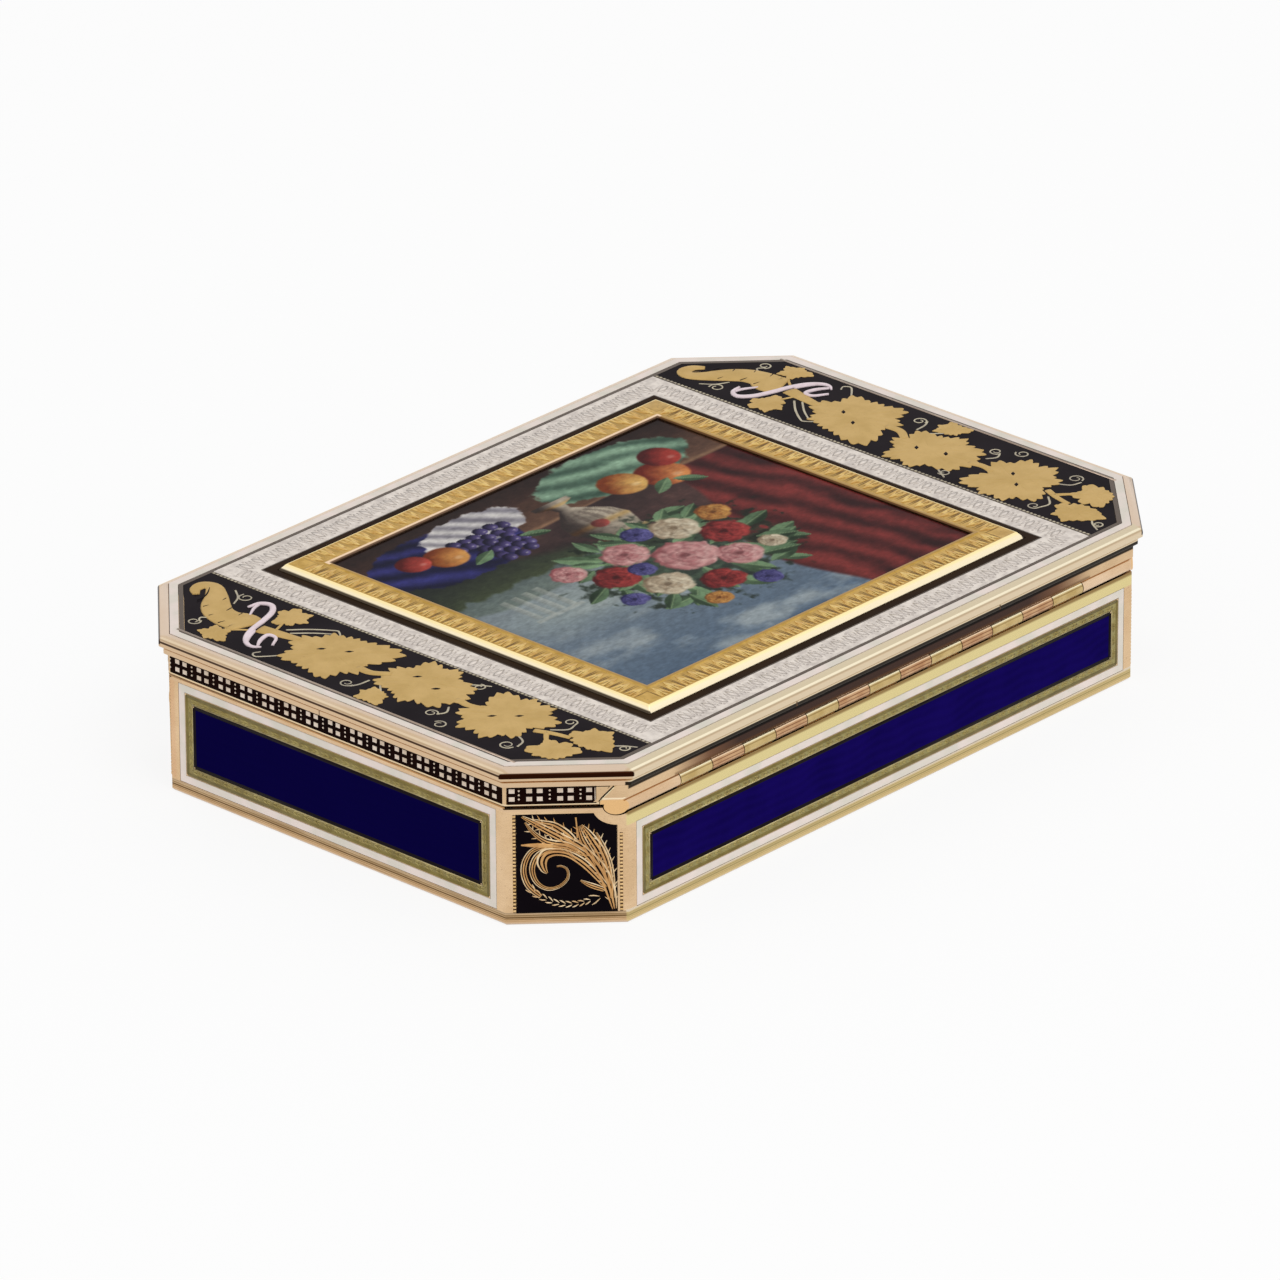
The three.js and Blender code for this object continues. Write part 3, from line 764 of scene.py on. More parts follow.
def make_gold():
    """The base's gold: fine streaks along the foot and painted contact shade at its bottom,
    green-gold under the hinge, painted shade under the knuckles and along the gap on the corners.
    """
    gold = metal("gold", "d8b68c", "e4c49c")
    for low, high, color, amount in FOOT_LINES:
        gold.tint_box(color, amount, 0.05, z=(low, high))
    streaks = gold.step(gold.noise(0.35, 3.0, (0.25, 0.25, 9)), 0.52, 0.64)
    gold.tint_box("705024", 0.35, 0.1, streaks, z=(0.25, FOOT_TOP))
    back = (WALL_HIGH.y - 0.2, FAR)
    low, high = HINGE_STRIP
    gold.tint_box("e0d08c", 0.4, 0.1, x=HINGE_FACE, y=back, z=(-1, FOOT_TOP))
    gold.tint_box("e2d4be", 0.8, 0.06, x=HINGE_FACE, y=back, z=(FOOT_TOP - 0.2, FOOT_TOP + 0.1))
    gold.tint_box("ce9470", 0.75, 0.3, x=(WALL_HIGH.x - 0.1, FAR), y=(-FAR, POST_EDGE),
                  z=(FOOT_TOP, POST_TOP))
    gold.tint_box("decd92", 1, 0.15, y=back, z=HINGE_STRIP)
    # Painted shade: darker just under the knuckles, and in the cove behind them.
    gold.tint_box("927846", 0.9, 0.2, y=back, z=(high - 0.25, high + 0.2))
    gold.tint_box("8c703e", 0.85, 0.05, x=HINGE_FACE, y=(WALL_HIGH.y - 3, FAR), z=(high, 12.4))
    top = WALL_HIGH.z
    gold.tint_box("d4b494", 0.5, 0.05, z=(top - 0.4, top - 0.16))
    # Painted shade along the gap under the lid, on the corners.
    gold.tint_box(GAP_SHADE, 0.97, 0.03, gold.corner(BASE_INSET), z=(top - 0.16, FAR))


def make_rim_gold():
    """The rim: khaki towards the hinge, a painted highlight along its outer edge, a dark line below
    its edge, a painted dark reflection as a stripe on each corner, and painted shade on its lower
    edge over the hinge.
    """
    rim = metal("rose_gold", "d6bea2", "ceb392", 0.24, 0.08, 1.0, 110.0, 0.03)
    lip_low = LID_TOP - RIM_LIP
    lip_high = LID_TOP - RIM_SLOPE - RIM_EDGE
    edge = lip_high + RIM_EDGE
    slope = (edge - 0.1, FAR)
    back = {"x": HINGE_FACE, "y": (HALF_WIDTH - 1.3, FAR)}
    under_edge = (lip_high - 0.24, lip_high)
    inset = rim.inset(RIM_HIGH)
    rim.tint_box("decaba", 0.5, 0.05, rim.past(inset, 0.6, 0.8), z=slope)
    rim.tint_box("d4c6a8", 0.9, 0.2, **back, z=(edge - 0.2, FAR))
    # Painted highlight: a bright line on the slope near the rim's outer edge, stronger on the hinge
    # side.
    line = rim.product(rim.past(inset, 0.08, 0.16), rim.past(inset, 0.46, 0.36),
                       rim.box(0.04, z=slope))
    rim.tint("f6e4c4", 0.4, line)
    rim.tint_box("fcf1d4", 0.8, 0.2, line, **back)
    rim.tint_box("d4b693", 1, 0.05, z=(0, lip_high))
    rim.tint_box("deccae", 0.9, 0.05, **back, z=(0, lip_high))
    rim.tint_box("aa8e6c", 0.6, 0.03, z=(edge - 0.12, edge + 0.02))
    rim.tint_box("341c0e", 0.95, 0.03, x=(HALF_LENGTH - 1, FAR), z=under_edge)
    rim.tint_box("341c0e", 0.95, 0.03, y=(-FAR, 1 - HALF_WIDTH), z=under_edge)
    # Painted dark reflection: a stripe over the lip of each cut corner.
    rim.tint_box("281006", 1, 0.04, rim.corner(0), z=(lip_low + 0.26, edge + 0.05))
    # Painted shade: the rim's lower edge near black over the hinge.
    rim.tint_box("080200", 0.97, 0.04, x=(-FAR, HALF_LENGTH - 8.5), y=(HALF_WIDTH - 1, FAR),
                 z=(0, RIM_LOW.z + 0.42))


def make_lid_wall_gold():
    """The lid wall's gold: bright above its open line, and dark over the hinge with painted shade
    and dark reflection under the rim's overhang; painted shade along the gap on the corners.
    """
    wall = metal("wall_gold", "d2b28a", "debe96", 0.2, 0.2)
    low = LID_WALL_LOW.z
    back = LID_WALL_HIGH.y - 0.3
    ends = (-FAR, HINGE_HALF + 1)
    wall.tint_box("ecd8b2", 0.7, 0.04, z=(low + 0.06, low + 0.24))
    # Painted shade along the gap over the base, on the corners.
    wall.tint_box(GAP_SHADE, 0.95, 0.03, wall.corner(LID_WALL_INSET), z=(0, low + 0.06))
    # Painted shade and dark reflection: the wall darker over the hinge, under the rim's overhang.
    wall.tint_box("8c5c3e", 0.9, 5.0, x=ends, y=(back - 5, FAR))
    wall.tint_box("3a2822", 0.97, 9.0, x=ends, y=(back - 9, FAR))
    # Painted reflection: a red-brown strip along the wall's foot over the hinge.
    wall.tint_box("603e1e", 0.6, 0.2, x=ends, y=(back, FAR), z=(0, low + 1.0))
    # Painted shade: near black at the top of the wall over the hinge, right under the rim.
    wall.tint_box("0a0300", 0.96, 0.1, x=(-FAR, HALF_LENGTH - 9), y=(back, FAR),
                  z=(LID_WALL_HIGH.z - 0.6, FAR))


def make_knuckle_golds():
    """The base's knuckles are bright on top, the lid's are redder with fine lines; these are
    painted highlights and painted reflection bands. The shoulders carry painted highlight and
    reflection lines, and painted shade at their foot.
    """
    bright = metal("base_knuckle_gold", "d0b67e", "bea268", 0.22, 0.3, 0.9, 500.0)
    # Painted highlight on the tops, a painted dark reflection band under it, and painted reflected
    # light below.
    bright.tint_box("fff4ce", 1, 0.12, z=(AXIS_Z + 0.42, FAR))
    bright.tint_box("866a3e", 0.65, 0.06, z=(AXIS_Z + 0.26, AXIS_Z + 0.42))
    bright.tint_box("fce2a8", 0.9, 0.1, z=(0, AXIS_Z - 0.4))
    red = metal("lid_knuckle_gold", "cea67c", "b88a62", 0.25, 0.4, 0.9, 500.0)
    # Painted highlight on top and painted reflected light below; the fine dark lines are painted
    # shade and dark reflection.
    red.tint_box("fcdeba", 0.95, 0.1, z=(AXIS_Z + 0.44, FAR))
    red.tint_box("fad6a0", 0.9, 0.1, z=(0, AXIS_Z - 0.4))
    for level in (-0.36, -0.06, 0.26):
        red.tint_box("703e26", 0.8, 0.04, z=(AXIS_Z + level, AXIS_Z + level + 0.12))
    shoulder = metal("shoulder_gold", "e8caa8", "dcba94", 0.2, 0.2)
    # Painted highlight and reflection lines across the shoulder, as on a lit tube, and painted
    # shade at its foot.
    for color, amount, softness, low, high in (
            ("8e462e", 0.7, 0.1, 13.45, 13.62), ("fcecc8", 0.9, 0.05, 12.85, 13.0),
            ("966446", 0.6, 0.05, 12.68, 12.78), ("54341e", 0.85, 0.05, 0, AXIS_Z - 0.55)):
        shoulder.tint_box(color, amount, softness, z=(low, high))
    shoulder.tint_box("e4b880", 1, 0.1, shoulder.corner(LID_WALL_INSET), z=(0, AXIS_Z + 0.75))


def make_frame_golds():
    """The picture frame: a painted highlight on the outer bevel, olive chased flat, darker bead
    next to the picture, painted shade at its inner edge and at the foot of its +X end. The bead (a
    painted highlight) and the grooves of the chasing (lighter painted shade) are brighter on the
    thumb side."""
    gold = metal("frame_gold", "cea858", "b89242", 0.34, 0.6, 1.0, 900.0)
    inset = gold.inset(FRAME_HIGH)
    bevel = gold.past(inset, FRAME_BEVEL + 0.14, FRAME_BEVEL + 0.04)
    # Painted highlight: the outer bevel bright all round.
    gold.tint("fbecca", 1, bevel)
    gold.tint("ffeaaa", 0.9, gold.past(inset, FRAME_BEVEL - 0.26, FRAME_BEVEL), bevel)
    start = FRAME_BEVEL + FRAME_FLAT
    bead_mask = gold.past(inset, start + 0.08, start + 0.16)
    gold.tint("ae8a4c", 0.9, bead_mask)
    # Painted highlight on the bead along the thumb side.
    gold.tint_box("f0d2b0", 1, 0.1, bead_mask, y=(-FAR, 0.2 - PICTURE_HIGH.y))
    # Painted shade at the frame's inner edge, where it drops to the picture.
    gold.tint("543626", 0.9, gold.past(inset, start + FRAME_BEAD - 0.2, start + FRAME_BEAD - 0.1))
    # Painted shade at the foot of the frame's +X end.
    gold.tint_box("32241a", 0.95, 0.1, x=(FRAME_HIGH.x - 0.3, FAR), z=(0, LID_TOP + 0.25))
    shadow = metal("frame_shadow", "886830", "705426", 0.4, 0.4, 0.9, 900.0)
    # The grooves' painted shade made lighter on the thumb side.
    shadow.tint_box("bc9a56", 0.85, 0.2, y=(-FAR, -PICTURE_HIGH.y))


def make_ground_golds():
    """The lid plate, polished inside and dark where it parts the enamels, and the satin green-gold
    of the borders, slightly stained, with painted light on the hinge side's borders."""
    plate = metal("plate_gold", "d6b484", "e0c092", 0.16, 0.2)
    plate.tint_box("463a34", 0.95, 0.1, z=(LID_TOP - 0.4, FAR))
    green = metal("green_gold", "908252", "7e7042", 0.36, 0.4, 0.8, 700.0)
    green.tint("b29c60", 0.45, green.step(green.noise(0.35), 0.56, 0.7))
    # Painted light: the borders lighter on the hinge side.
    green.tint_box("a09862", 0.6, 0.1, y=(WALL_HIGH.y - 1, FAR))


def make_blue_enamel():
    """Deep blue over a fine engine-turned ground that shows faintly through it."""
    blue = enamel("blue_enamel", "0c0248", "110454", 0.08, 0.006)
    waves = blue.node("ShaderNodeTexWave", {
        "Vector": blue.place(), "Scale": 320, "Distortion": 6, "Detail": 1, "Detail Scale": 0.6},
        bands_direction="Z")
    blue.tint("160762", 0.25, waves["Fac"])
    # Painted shade: the blue darker on the +X end.
    blue.tint_box("040036", 0.9, 0.1, x=(WALL_HIGH.x - 1, FAR))


def make_painted_enamel():
    """The painting's colours, with fine brush marks under a thin glaze."""
    glaze = enamel("painted_enamel", "808080", "808080", 0.15, 0.02)
    paint = glaze.node("ShaderNodeAttribute", attribute_name="paint")["Color"]
    brush = glaze.step(glaze.noise(1.6, 3.0, (1, 2.2, 1)), 0.2, 0.8)
    shade = glaze.math("ADD", glaze.product(brush, 0.2), 0.88)
    grey = glaze.node("ShaderNodeCombineColor", dict.fromkeys(range(3), shade))[0]
    glaze.fill(glaze.shader, {"Base Color": glaze.mix(1.0, paint, grey, "MULTIPLY")})


for row in PLAIN_METALS:
    metal(*row)
for row in PLAIN_ENAMELS:
    enamel(*row)
for make_finish in (make_gold, make_rim_gold, make_lid_wall_gold, make_knuckle_golds,
                    make_frame_golds, make_ground_golds, make_blue_enamel, make_painted_enamel):
    make_finish()

# CAD nodes with a finish of their own, by how their names start. The others have their slot's.
NODE_FINISHES = {
    "base_knuckle": "base_knuckle_gold",
    "lid_knuckle": "lid_knuckle_gold",
    "lid_shoulder": "shoulder_gold",
    "lid_wall": "wall_gold",
    "lid_plate": "plate_gold",
    "black_line": "line_enamel",
    "corner_panel": "corner_enamel",
    "black_band": "band_enamel",
}


def dress_nodes():
    """Gives each CAD node the finish of its slot, or its own where it has one."""
    for row in frame["record"]["subparts"]:
        own = [finish for start, finish in NODE_FINISHES.items() if row["node"].startswith(start)]
        materials = frame["nodes"][row["node"]].data.materials
        materials.clear()
        materials.append(FINISHES[own[-1] if own else row["material_slot"]].material)


# The vine on both end panels: u from the lid's end inwards, v from the thumb side
HORN = ((9, 4.9, 0.35), (9.8, 4, 0.6), (10.9, 3.9, 0.8), (11.3, 5, 0.9), (10, 6.6, 1.2),
        (8.6, 7.9, 1.5), (7.6, 9.2, 1.6), (7.2, 10.8, 1.75), (7.4, 12.4, 2.1), (7, 13.6, 1.9))
HORN_BANDS = (((8, 6), (11, 4.8)), ((7.4, 7.4), (10.2, 7.7)), ((6.3, 9.2), (9, 9.6)), ((5.7, 11),
              (8.8, 11.2)))
RIBBON = (
    ((10.2, 10.6, 0.14), (11.5, 10.9, 0.26), (12, 12, 0.32), (10.9, 13.1, 0.34), (9, 13.8, 0.34),
     (6.8, 14.4, 0.32), (5.2, 15.2, 0.3), (4.3, 16.2, 0.28), (4.1, 17.1, 0.2), (4.6, 17.8, 0.1)),
    ((4.1, 16.3, 0.12), (5.4, 15.4, 0.2), (6.8, 14.8, 0.16)),
    ((4.5, 17.4, 0.14), (5.6, 16.7, 0.24), (6.9, 16.4, 0.24), (7, 17.4, 0.2), (5.6, 18.3, 0.14)),
    ((9, 12, 0.1), (10.4, 11.2, 0.18), (11.3, 11, 0.14)),
)
LARGE_LEAVES = (
    ((8, 23.9), ((8.2, 18.7), (4.4, 20.6), (3.7, 26.6), (6.6, 28.4), (12.3, 28.7), (12.2, 25.4),
     (11.2, 20.9))),
    ((9.1, 34.6), ((12.9, 32.2), (13.2, 35.4), (10.9, 39.4), (8.6, 40.2), (6.2, 39), (4.9, 35.6),
     (6.4, 31), (9.4, 30.3))),
    ((9, 45.5), ((12.5, 41.8), (13.3, 45), (13.1, 47.4), (11, 50), (6.2, 48.9), (4.3, 46.6),
     (4.5, 43.6), (6.8, 41.4))),
)
SMALL_LEAVES = (
    ((3.9, 12.3), ((3.2, 14.1), (2.5, 12.2), (3.4, 10.7), (5.2, 11.2), (5.4, 12.9))),
    ((11.2, 15.3), ((9.2, 14.9), (11.7, 13.5), (13.1, 14.4), (12.9, 16.4), (11.4, 17.2),
     (9.9, 16.4))),
    ((3.9, 33), ((2.8, 34.7), (2.6, 31.9), (4, 31.4), (5.3, 31.9), (4.6, 34.2))),
    ((6.5, 53.8), ((4.6, 52.9), (5, 51.5), (7.8, 51.7), (8.7, 53.8), (8.2, 55.7), (6.9, 55.6),
     (5.5, 54.2))),
    ((10.7, 54.8), ((9.2, 53.5), (10.4, 52.3), (12.4, 53.4), (13, 55.1), (11.4, 56.8), (9.9, 57.7),
     (9, 56.3))),
)
STEMS = (
    ((7.5, 14.8, 0.9), (7.9, 17, 0.7), (8.3, 19.4, 0.5)),
    ((7.5, 27.6, 0.55), (7.5, 29.4, 0.5), (8.6, 31, 0.45)),
    ((8.7, 39.4, 0.5), (8.4, 41, 0.45), (8.8, 42.6, 0.4)),
    ((8.5, 49.4, 0.4), (9.2, 51.2, 0.35), (9.6, 53, 0.3)),
    ((8.9, 50.6, 0.3), (7.8, 51.6, 0.25), (7, 52.8, 0.22)),
    ((5.2, 12.6, 0.16), (6, 13.4, 0.16), (6.9, 14.6, 0.16)),
    ((8.1, 16.2, 0.16), (9.2, 15.8, 0.16), (10.2, 15.4, 0.14)),
)
TENDRILS = (
    ((9, 16.8, 0.13), (10.6, 18.4, 0.13), (11.9, 20.2, 0.12), (12, 20.9, 0.11),
     (10.7, 22.4, 0.09)),
    ((8.7, 17.6, 0.12), (10.2, 19.2, 0.12), (11.4, 20.9, 0.1)),
    ((4.5, 20.3, 0.1), (3.4, 19.4, 0.11), (2.8, 18.7, 0.11), (3.2, 18.1, 0.1), (3.9, 18.4, 0.09)),
    ((6.2, 30.4, 0.12), (4.9, 30.3, 0.12), (4, 29.9, 0.11)),
    ((6.8, 31.2, 0.12), (5.4, 32.6, 0.12), (4.8, 33.2, 0.1)),
    ((6.9, 40, 0.12), (5.9, 40.6, 0.12), (5, 40.2, 0.11)),
    ((10.9, 37.2, 0.12), (12, 38.4, 0.12), (12.9, 39.9, 0.1)),
    ((6.9, 48.6, 0.12), (6.1, 50.2, 0.12), (4.9, 50.6, 0.11)),
    ((9.6, 50.4, 0.12), (10.8, 51.6, 0.12), (12, 51.4, 0.1)),
    ((10.7, 56.9, 0.12), (11.6, 57.8, 0.12), (12.3, 59, 0.1)),
    ((6.2, 9.6, 0.1), (5.6, 8.8, 0.11), (4.9, 9.3, 0.1)),
    ((9.9, 9, 0.1), (11.2, 8.3, 0.11), (12.2, 7, 0.1)),
)
CURLS = (
    ((4.6, 8.9), 0.7, 0.25, 40, 1.2),
    ((11.7, 8.9), 0.8, 0.3, -60, -1.2),
    ((4.4, 29.2), 0.75, 0.25, 90, 1.3),
    ((4.9, 39.6), 0.7, 0.25, 80, -1.3),
    ((3.6, 41.9), 0.75, 0.3, -80, 1.2),
    ((12, 39.1), 0.65, 0.2, -30, 1.2),
    ((4.6, 49.6), 0.8, 0.3, 90, 1.3),
    ((12.1, 50.7), 0.7, 0.25, 100, -1.2),
    ((11.3, 58.2), 0.6, 0.2, 0, 1.2),
)
LEAF_SPOTS = ((8, 22.4), (9.3, 24.8), (9.6, 33.4), (8.8, 36.5), (8, 44.5), (9.7, 46.4))


def end_plane(side):
    """The end panel's ground: u from the lid's end inwards, v from the thumb side."""
    return Plane((side * HALF_LENGTH, -HALF_WIDTH, LID_TOP), (-side, 0, 0), (0, 1, 0), (0, 0, 1))


HORN_RISE = 0.16
RIBBON_RISE = 0.22
TENDRIL_RISE = 0.06
TENDRIL_HALF = 0.1
SMALL_LEAF_RISE = 0.13
MARK_LIFT = 0.12  # the dark marks lie on the gilt leaves
BAND_SAG = 0.35  # how far the middle of a band across the horn stands off from its ends
# A dark spot's points from its middle, with half widths
SPOT_POINTS = ((-0.34, -0.3, 0.04), (0, 0, 0.24), (0.34, 0.3, 0.04))


def make_vine():
    gilt, pale, ribbon, dark = Heap(), Heap(), Heap(), Heap()
    for side in (1, -1):
        plane = end_plane(side)
        stroke(gilt, plane, HORN, HORN_RISE)
        for centre, tips in LARGE_LEAVES:
            vine_leaf(gilt, plane, centre, tips)
        for centre, tips in SMALL_LEAVES:
            vine_leaf(gilt, plane, centre, tips, SMALL_LEAF_RISE, teeth=15)
        for heap, rows, height in ((gilt, STEMS, GILDING), (pale, TENDRILS, TENDRIL_RISE),
                                   (ribbon, RIBBON, RIBBON_RISE)):
            for points in rows:
                stroke(heap, plane, points, height)
        for centre, first, last, angle, turns in CURLS:
            points = curl(centre, first, last, angle, turns, TENDRIL_HALF)
            stroke(pale, plane, points, TENDRIL_RISE, steps=2)
        raised = plane.moved(lift=MARK_LIFT)
        for first, last in HORN_BANDS:
            middle = ((first[0] + last[0]) / 2, (first[1] + last[1]) / 2 + BAND_SAG)
            stroke(dark, raised, [(*first, 0.05), (*middle, 0.09), (*last, 0.05)], height=0.05)
        for u, v in LEAF_SPOTS:
            spot = [(u + du, v + dv, half) for du, dv, half in SPOT_POINTS]
            stroke(dark, raised, spot, height=0.06, steps=3)
    place_heaps("lid", (gilt, "vine_leaves", "gilding", "gold"),
                (pale, "vine_tendrils", "pale_gilding", "gold"),
                (ribbon, "horn_ribbon", "ribbon_enamel", "white_enamel"),
                (dark, "vine_dark_marks", "black_enamel", "black_enamel"))


# The leaf scroll on the corner panels: u from the end face's edge, v down from the frame's crest
SCROLL_STROKES = (
    ((10.15, 15.6, 0.25), (9.9, 14.2, 0.5), (9.5, 12.8, 0.6), (8.9, 11.4, 0.6), (8, 10.2, 0.5),
     (6.9, 9.1, 0.45), (5.4, 8.2, 0.45), (3.9, 7.3, 0.4), (2.6, 6.5, 0.3), (1.6, 5.9, 0.12)),
    ((6.6, 8.6, 0.3), (5.7, 7.7, 0.45), (4.6, 6.9, 0.4), (3.6, 6.6, 0.3), (2.6, 6.3, 0.15)),
    ((7.4, 9.9, 0.3), (5.9, 9, 0.4), (4.4, 8.7, 0.4), (3.5, 8.3, 0.3), (2.5, 7.4, 0.2),
     (1.9, 6.5, 0.1)),
    ((9.8, 13, 0.35), (9.4, 11, 0.45), (8.9, 9.6, 0.5), (8.2, 8.4, 0.45), (7.6, 7.5, 0.3),
     (7.1, 6.9, 0.12)),
    ((10, 14.5, 0.25), (9.9, 12.5, 0.35), (9.65, 10.8, 0.35), (9.2, 9.5, 0.35), (8.8, 8.4, 0.2),
     (8.5, 7.7, 0.08)),
    ((8.6, 11, 0.3), (7.9, 9.6, 0.35), (7.3, 8.5, 0.35), (7, 7.6, 0.25), (6.9, 7, 0.1)),
    ((6.75, 8.2, 0.1), (6.7, 7.2, 0.08), (6.6, 6.1, 0.08)),
    ((9.4, 13.3, 0.3), (8.4, 12, 0.4), (7.3, 10.8, 0.45), (6, 9.9, 0.4), (4.8, 9.6, 0.45),
     (3.8, 9.8, 0.6), (3.4, 10.6, 0.55), (3.6, 11.4, 0.35), (3.9, 11.8, 0.12)),
    ((6.6, 10.4, 0.15), (5.4, 9.35, 0.2), (4, 9.3, 0.25), (2.9, 10.1, 0.3), (2.5, 11.4, 0.3),
     (2.9, 12.7, 0.25), (3.9, 13.4, 0.2), (5, 13.2, 0.17), (5.8, 12.4, 0.15), (5.8, 11.5, 0.13),
     (5.3, 11.1, 0.1), (4.8, 11.1, 0.08)),
    ((7, 9.8, 0.15), (5.6, 9, 0.2), (4, 9, 0.2), (2.6, 9.4, 0.25), (1.9, 10.4, 0.3),
     (1.7, 11.6, 0.3), (2, 12.8, 0.3), (2.6, 13.6, 0.3), (3.3, 14.2, 0.25)),
    ((4.5, 9, 0.2), (3, 8.9, 0.25), (1.5, 8.85, 0.08)),
    ((9.2, 13.6, 0.25), (8.4, 13.3, 0.3), (7.7, 13, 0.25), (7, 12.6, 0.08)),
)
GARLAND = ((2.2, 13.2), (2.7, 13.8), (3.3, 14.2), (3.85, 14.5), (4.4, 14.8), (5, 14.95),
           (5.6, 15.05), (6.2, 15.05), (6.8, 15), (7.35, 14.85), (7.9, 14.7), (8.8, 14.4))
SCROLL_TOP = FRAME_HIGH.z
SCROLL_RELIEF = 0.14
FINE_RELIEF = SCROLL_RELIEF * 0.8
BROAD_STRAND = 0.3  # half width from which a strand is split into three
BARBED_STRANDS = 6  # the first strands, which have small points along their edges
BARB_REACH = 0.42
BARB_ROOT = 0.6  # where a barb starts, as a share of its strand's half width
BARB_HALVES = (0.07, 0.06, 0.02)


def scroll_plane(name):
    """A corner panel's ground, mirrored so that the scroll's root lies towards the long side."""
    plane, width = face_plane(name, BASE_INSET)
    turn = 1 if name in SIDE_ON_RIGHT else -1
    origin = plane.origin - plane.u * turn * width / 2 + np.array([0, 0, SCROLL_TOP])
    return Plane(origin, plane.u * turn, -plane.v, plane.w)


def strand(heap, light, plane, points):
    """One strand of the scroll. A broad one is three thin ones with the dark ground between, each
    with its place and half width as shares of the strand's half width."""
    path = np.array(points)
    if path[:, 2].max() < BROAD_STRAND:
        stroke(heap, plane, points, SCROLL_RELIEF)
        return
    across = along_and_across(path)[1]
    # The strand on one edge goes into the lighter gilding, as a painted highlight.
    for side, share, target in ((-0.74, 0.2, light), (0, 0.26, heap), (0.74, 0.2, heap)):
        spots = path[:, :2] + across * path[:, 2:3] * side
        stroke(target, plane, np.column_stack([spots, path[:, 2] * share]), SCROLL_RELIEF)


def barbs(heap, plane, points):
    """Small points that leave both edges of a strand."""
    path = smooth_path(points, 3)
    along, across = along_and_across(path)
    for k in range(2, len(path) - 2, 2):
        for side in (1, -1):
            foot = path[k, :2] + across[k] * side * path[k, 2] * BARB_ROOT
            tip = foot + across[k] * side * BARB_REACH + along[k] * BARB_REACH
            spots = (foot, (foot + tip) / 2, tip)
            stroke(heap, plane, [(*spot, half) for spot, half in zip(spots, BARB_HALVES)],
                   FINE_RELIEF, steps=1)


def make_corner_scrolls():
    """Leaf scrolls in fine strands, with painted highlights in lighter gilding along one edge of
    the broad strands, and the garland that hangs beside them.
    """
    scroll, light = Heap(), Heap()
    for name in CORNERS:
        plane = scroll_plane(name)
        for number, points in enumerate(SCROLL_STROKES):
            strand(scroll, light, plane, points)
            if number < BARBED_STRANDS:
                # Every other strand's barbs are in the lighter gilding, as painted highlights.
                barbs(scroll if number % 2 else light, plane, points)
        for spot, following in zip(np.array(GARLAND), np.array(GARLAND[1:])):
            along = following - spot
            for side in (1, -1):
                across = side * np.array([along[1], -along[0]])
                leaf = ((following + across * 0.12, 0.03),
                        (spot + along * 0.45 + across * 0.4, 0.075), (spot + across * 0.52, 0.03))
                stroke(light, plane, [(*place, half) for place, half in leaf], FINE_RELIEF, steps=2)
    place_heaps("base", (scroll, "corner_scrolls", "scroll_gilding", "gold"),
                (light, "scroll_lights", "scroll_light", "gold"))


# Rows of ornament
LADDER_PITCH = 0.36
LADDER_HALF = 0.17
# From a corner face's edge to its ladder's middle, beside an end face and beside a long side
LADDER_BESIDE_END = 0.86
LADDER_BESIDE_SIDE = 0.66
HINGE_ROOM = 2.0  # how far the ladders next to the hinge end below the others
BAND_PITCH = 2.78
MILL_PITCH = 0.48
TIP_PITCH = 1.62
PATTERN_PITCH = 1.62
LAUREL_PITCH = 1.3


def make_corner_ladders():
    """Gold bars on a dark strip along both edges of every corner panel."""
    motif, strips = Heap(), Heap()
    tile(motif, 0, 0, half_u=0.1, half_v=LADDER_HALF * 0.86, height=0.07, slope=0.03)
    runs = []
    for name in CORNERS:
        plane, width = face_plane(name, BASE_INSET)
        for side in (1, -1):
            near_side = (side > 0) == (name in SIDE_ON_RIGHT)
            u = side * (width / 2 - (LADDER_BESIDE_SIDE if near_side else LADDER_BESIDE_END))
            shortened = near_side and name.startswith("hinge")
            top = CORNER_PANEL_HIGH.z - (HINGE_ROOM if shortened else 0)
            ends = (u, CORNER_PANEL_LOW.z), (u, top)
            runs.append(fitted_run(plane, *ends, LADDER_PITCH))
            fine_line(strips, plane, *ends, LADDER_HALF, height=0.03)
    place_rows("base", "gold", "corner_ladders", motif, runs, LADDER_PITCH, "ladder_gold")
    place_heaps("base", (strips, "ladder_grounds", "engraving", "gold"))


def band_dots(heap, plane, u):
    """A column of three dots."""
    for v in (-0.43, 0, 0.43):
        bead(heap, u, v, radius=0.11, height=0.07, around=6, plane=plane)


def band_squares(heap, plane, u):
    """Two rounded squares, one above the other."""
    for v in (-0.41, 0.41):
        tile(heap, u, v, half_u=0.27, half_v=0.22, height=0.06, slope=0.09, plane=plane)


def band_bar(heap, plane, u):
    fine_line(heap, plane, (u, -0.62), (u, 0.62), half=0.05, height=0.05)


# What stands along a hinge corner's band, by its distance from the far edge
BAND_CORNER = (
    (0.72, band_squares), (1.38, band_dots), (2.34, band_squares), (3.32, band_squares),
    (4.25, band_dots), (5.21, band_squares), (6.19, band_squares), (7.1, band_dots),
    (7.9, band_squares), (8.45, band_bar),
)
# One length of the pattern on the other faces
BAND_MOTIF = ((-1.45, band_dots), (-0.49, band_squares), (0.49, band_squares))
BAND_CORNER_START = 0.3
BAND_CORNER_END = 8.6
BAND_MARGIN = 0.25  # what the pattern leaves free at the ends of the other faces
BAND_RISE = 0.1  # the ornament's middle above the band's
BAND_PLATE = (8.56, 8.66, 9.74, 8.56)  # gold plate past the band's end: foot, foot, head, head
BAND_SLANT = ((8.72, 12.7), (10.2, 14.25))  # dark line across the plate


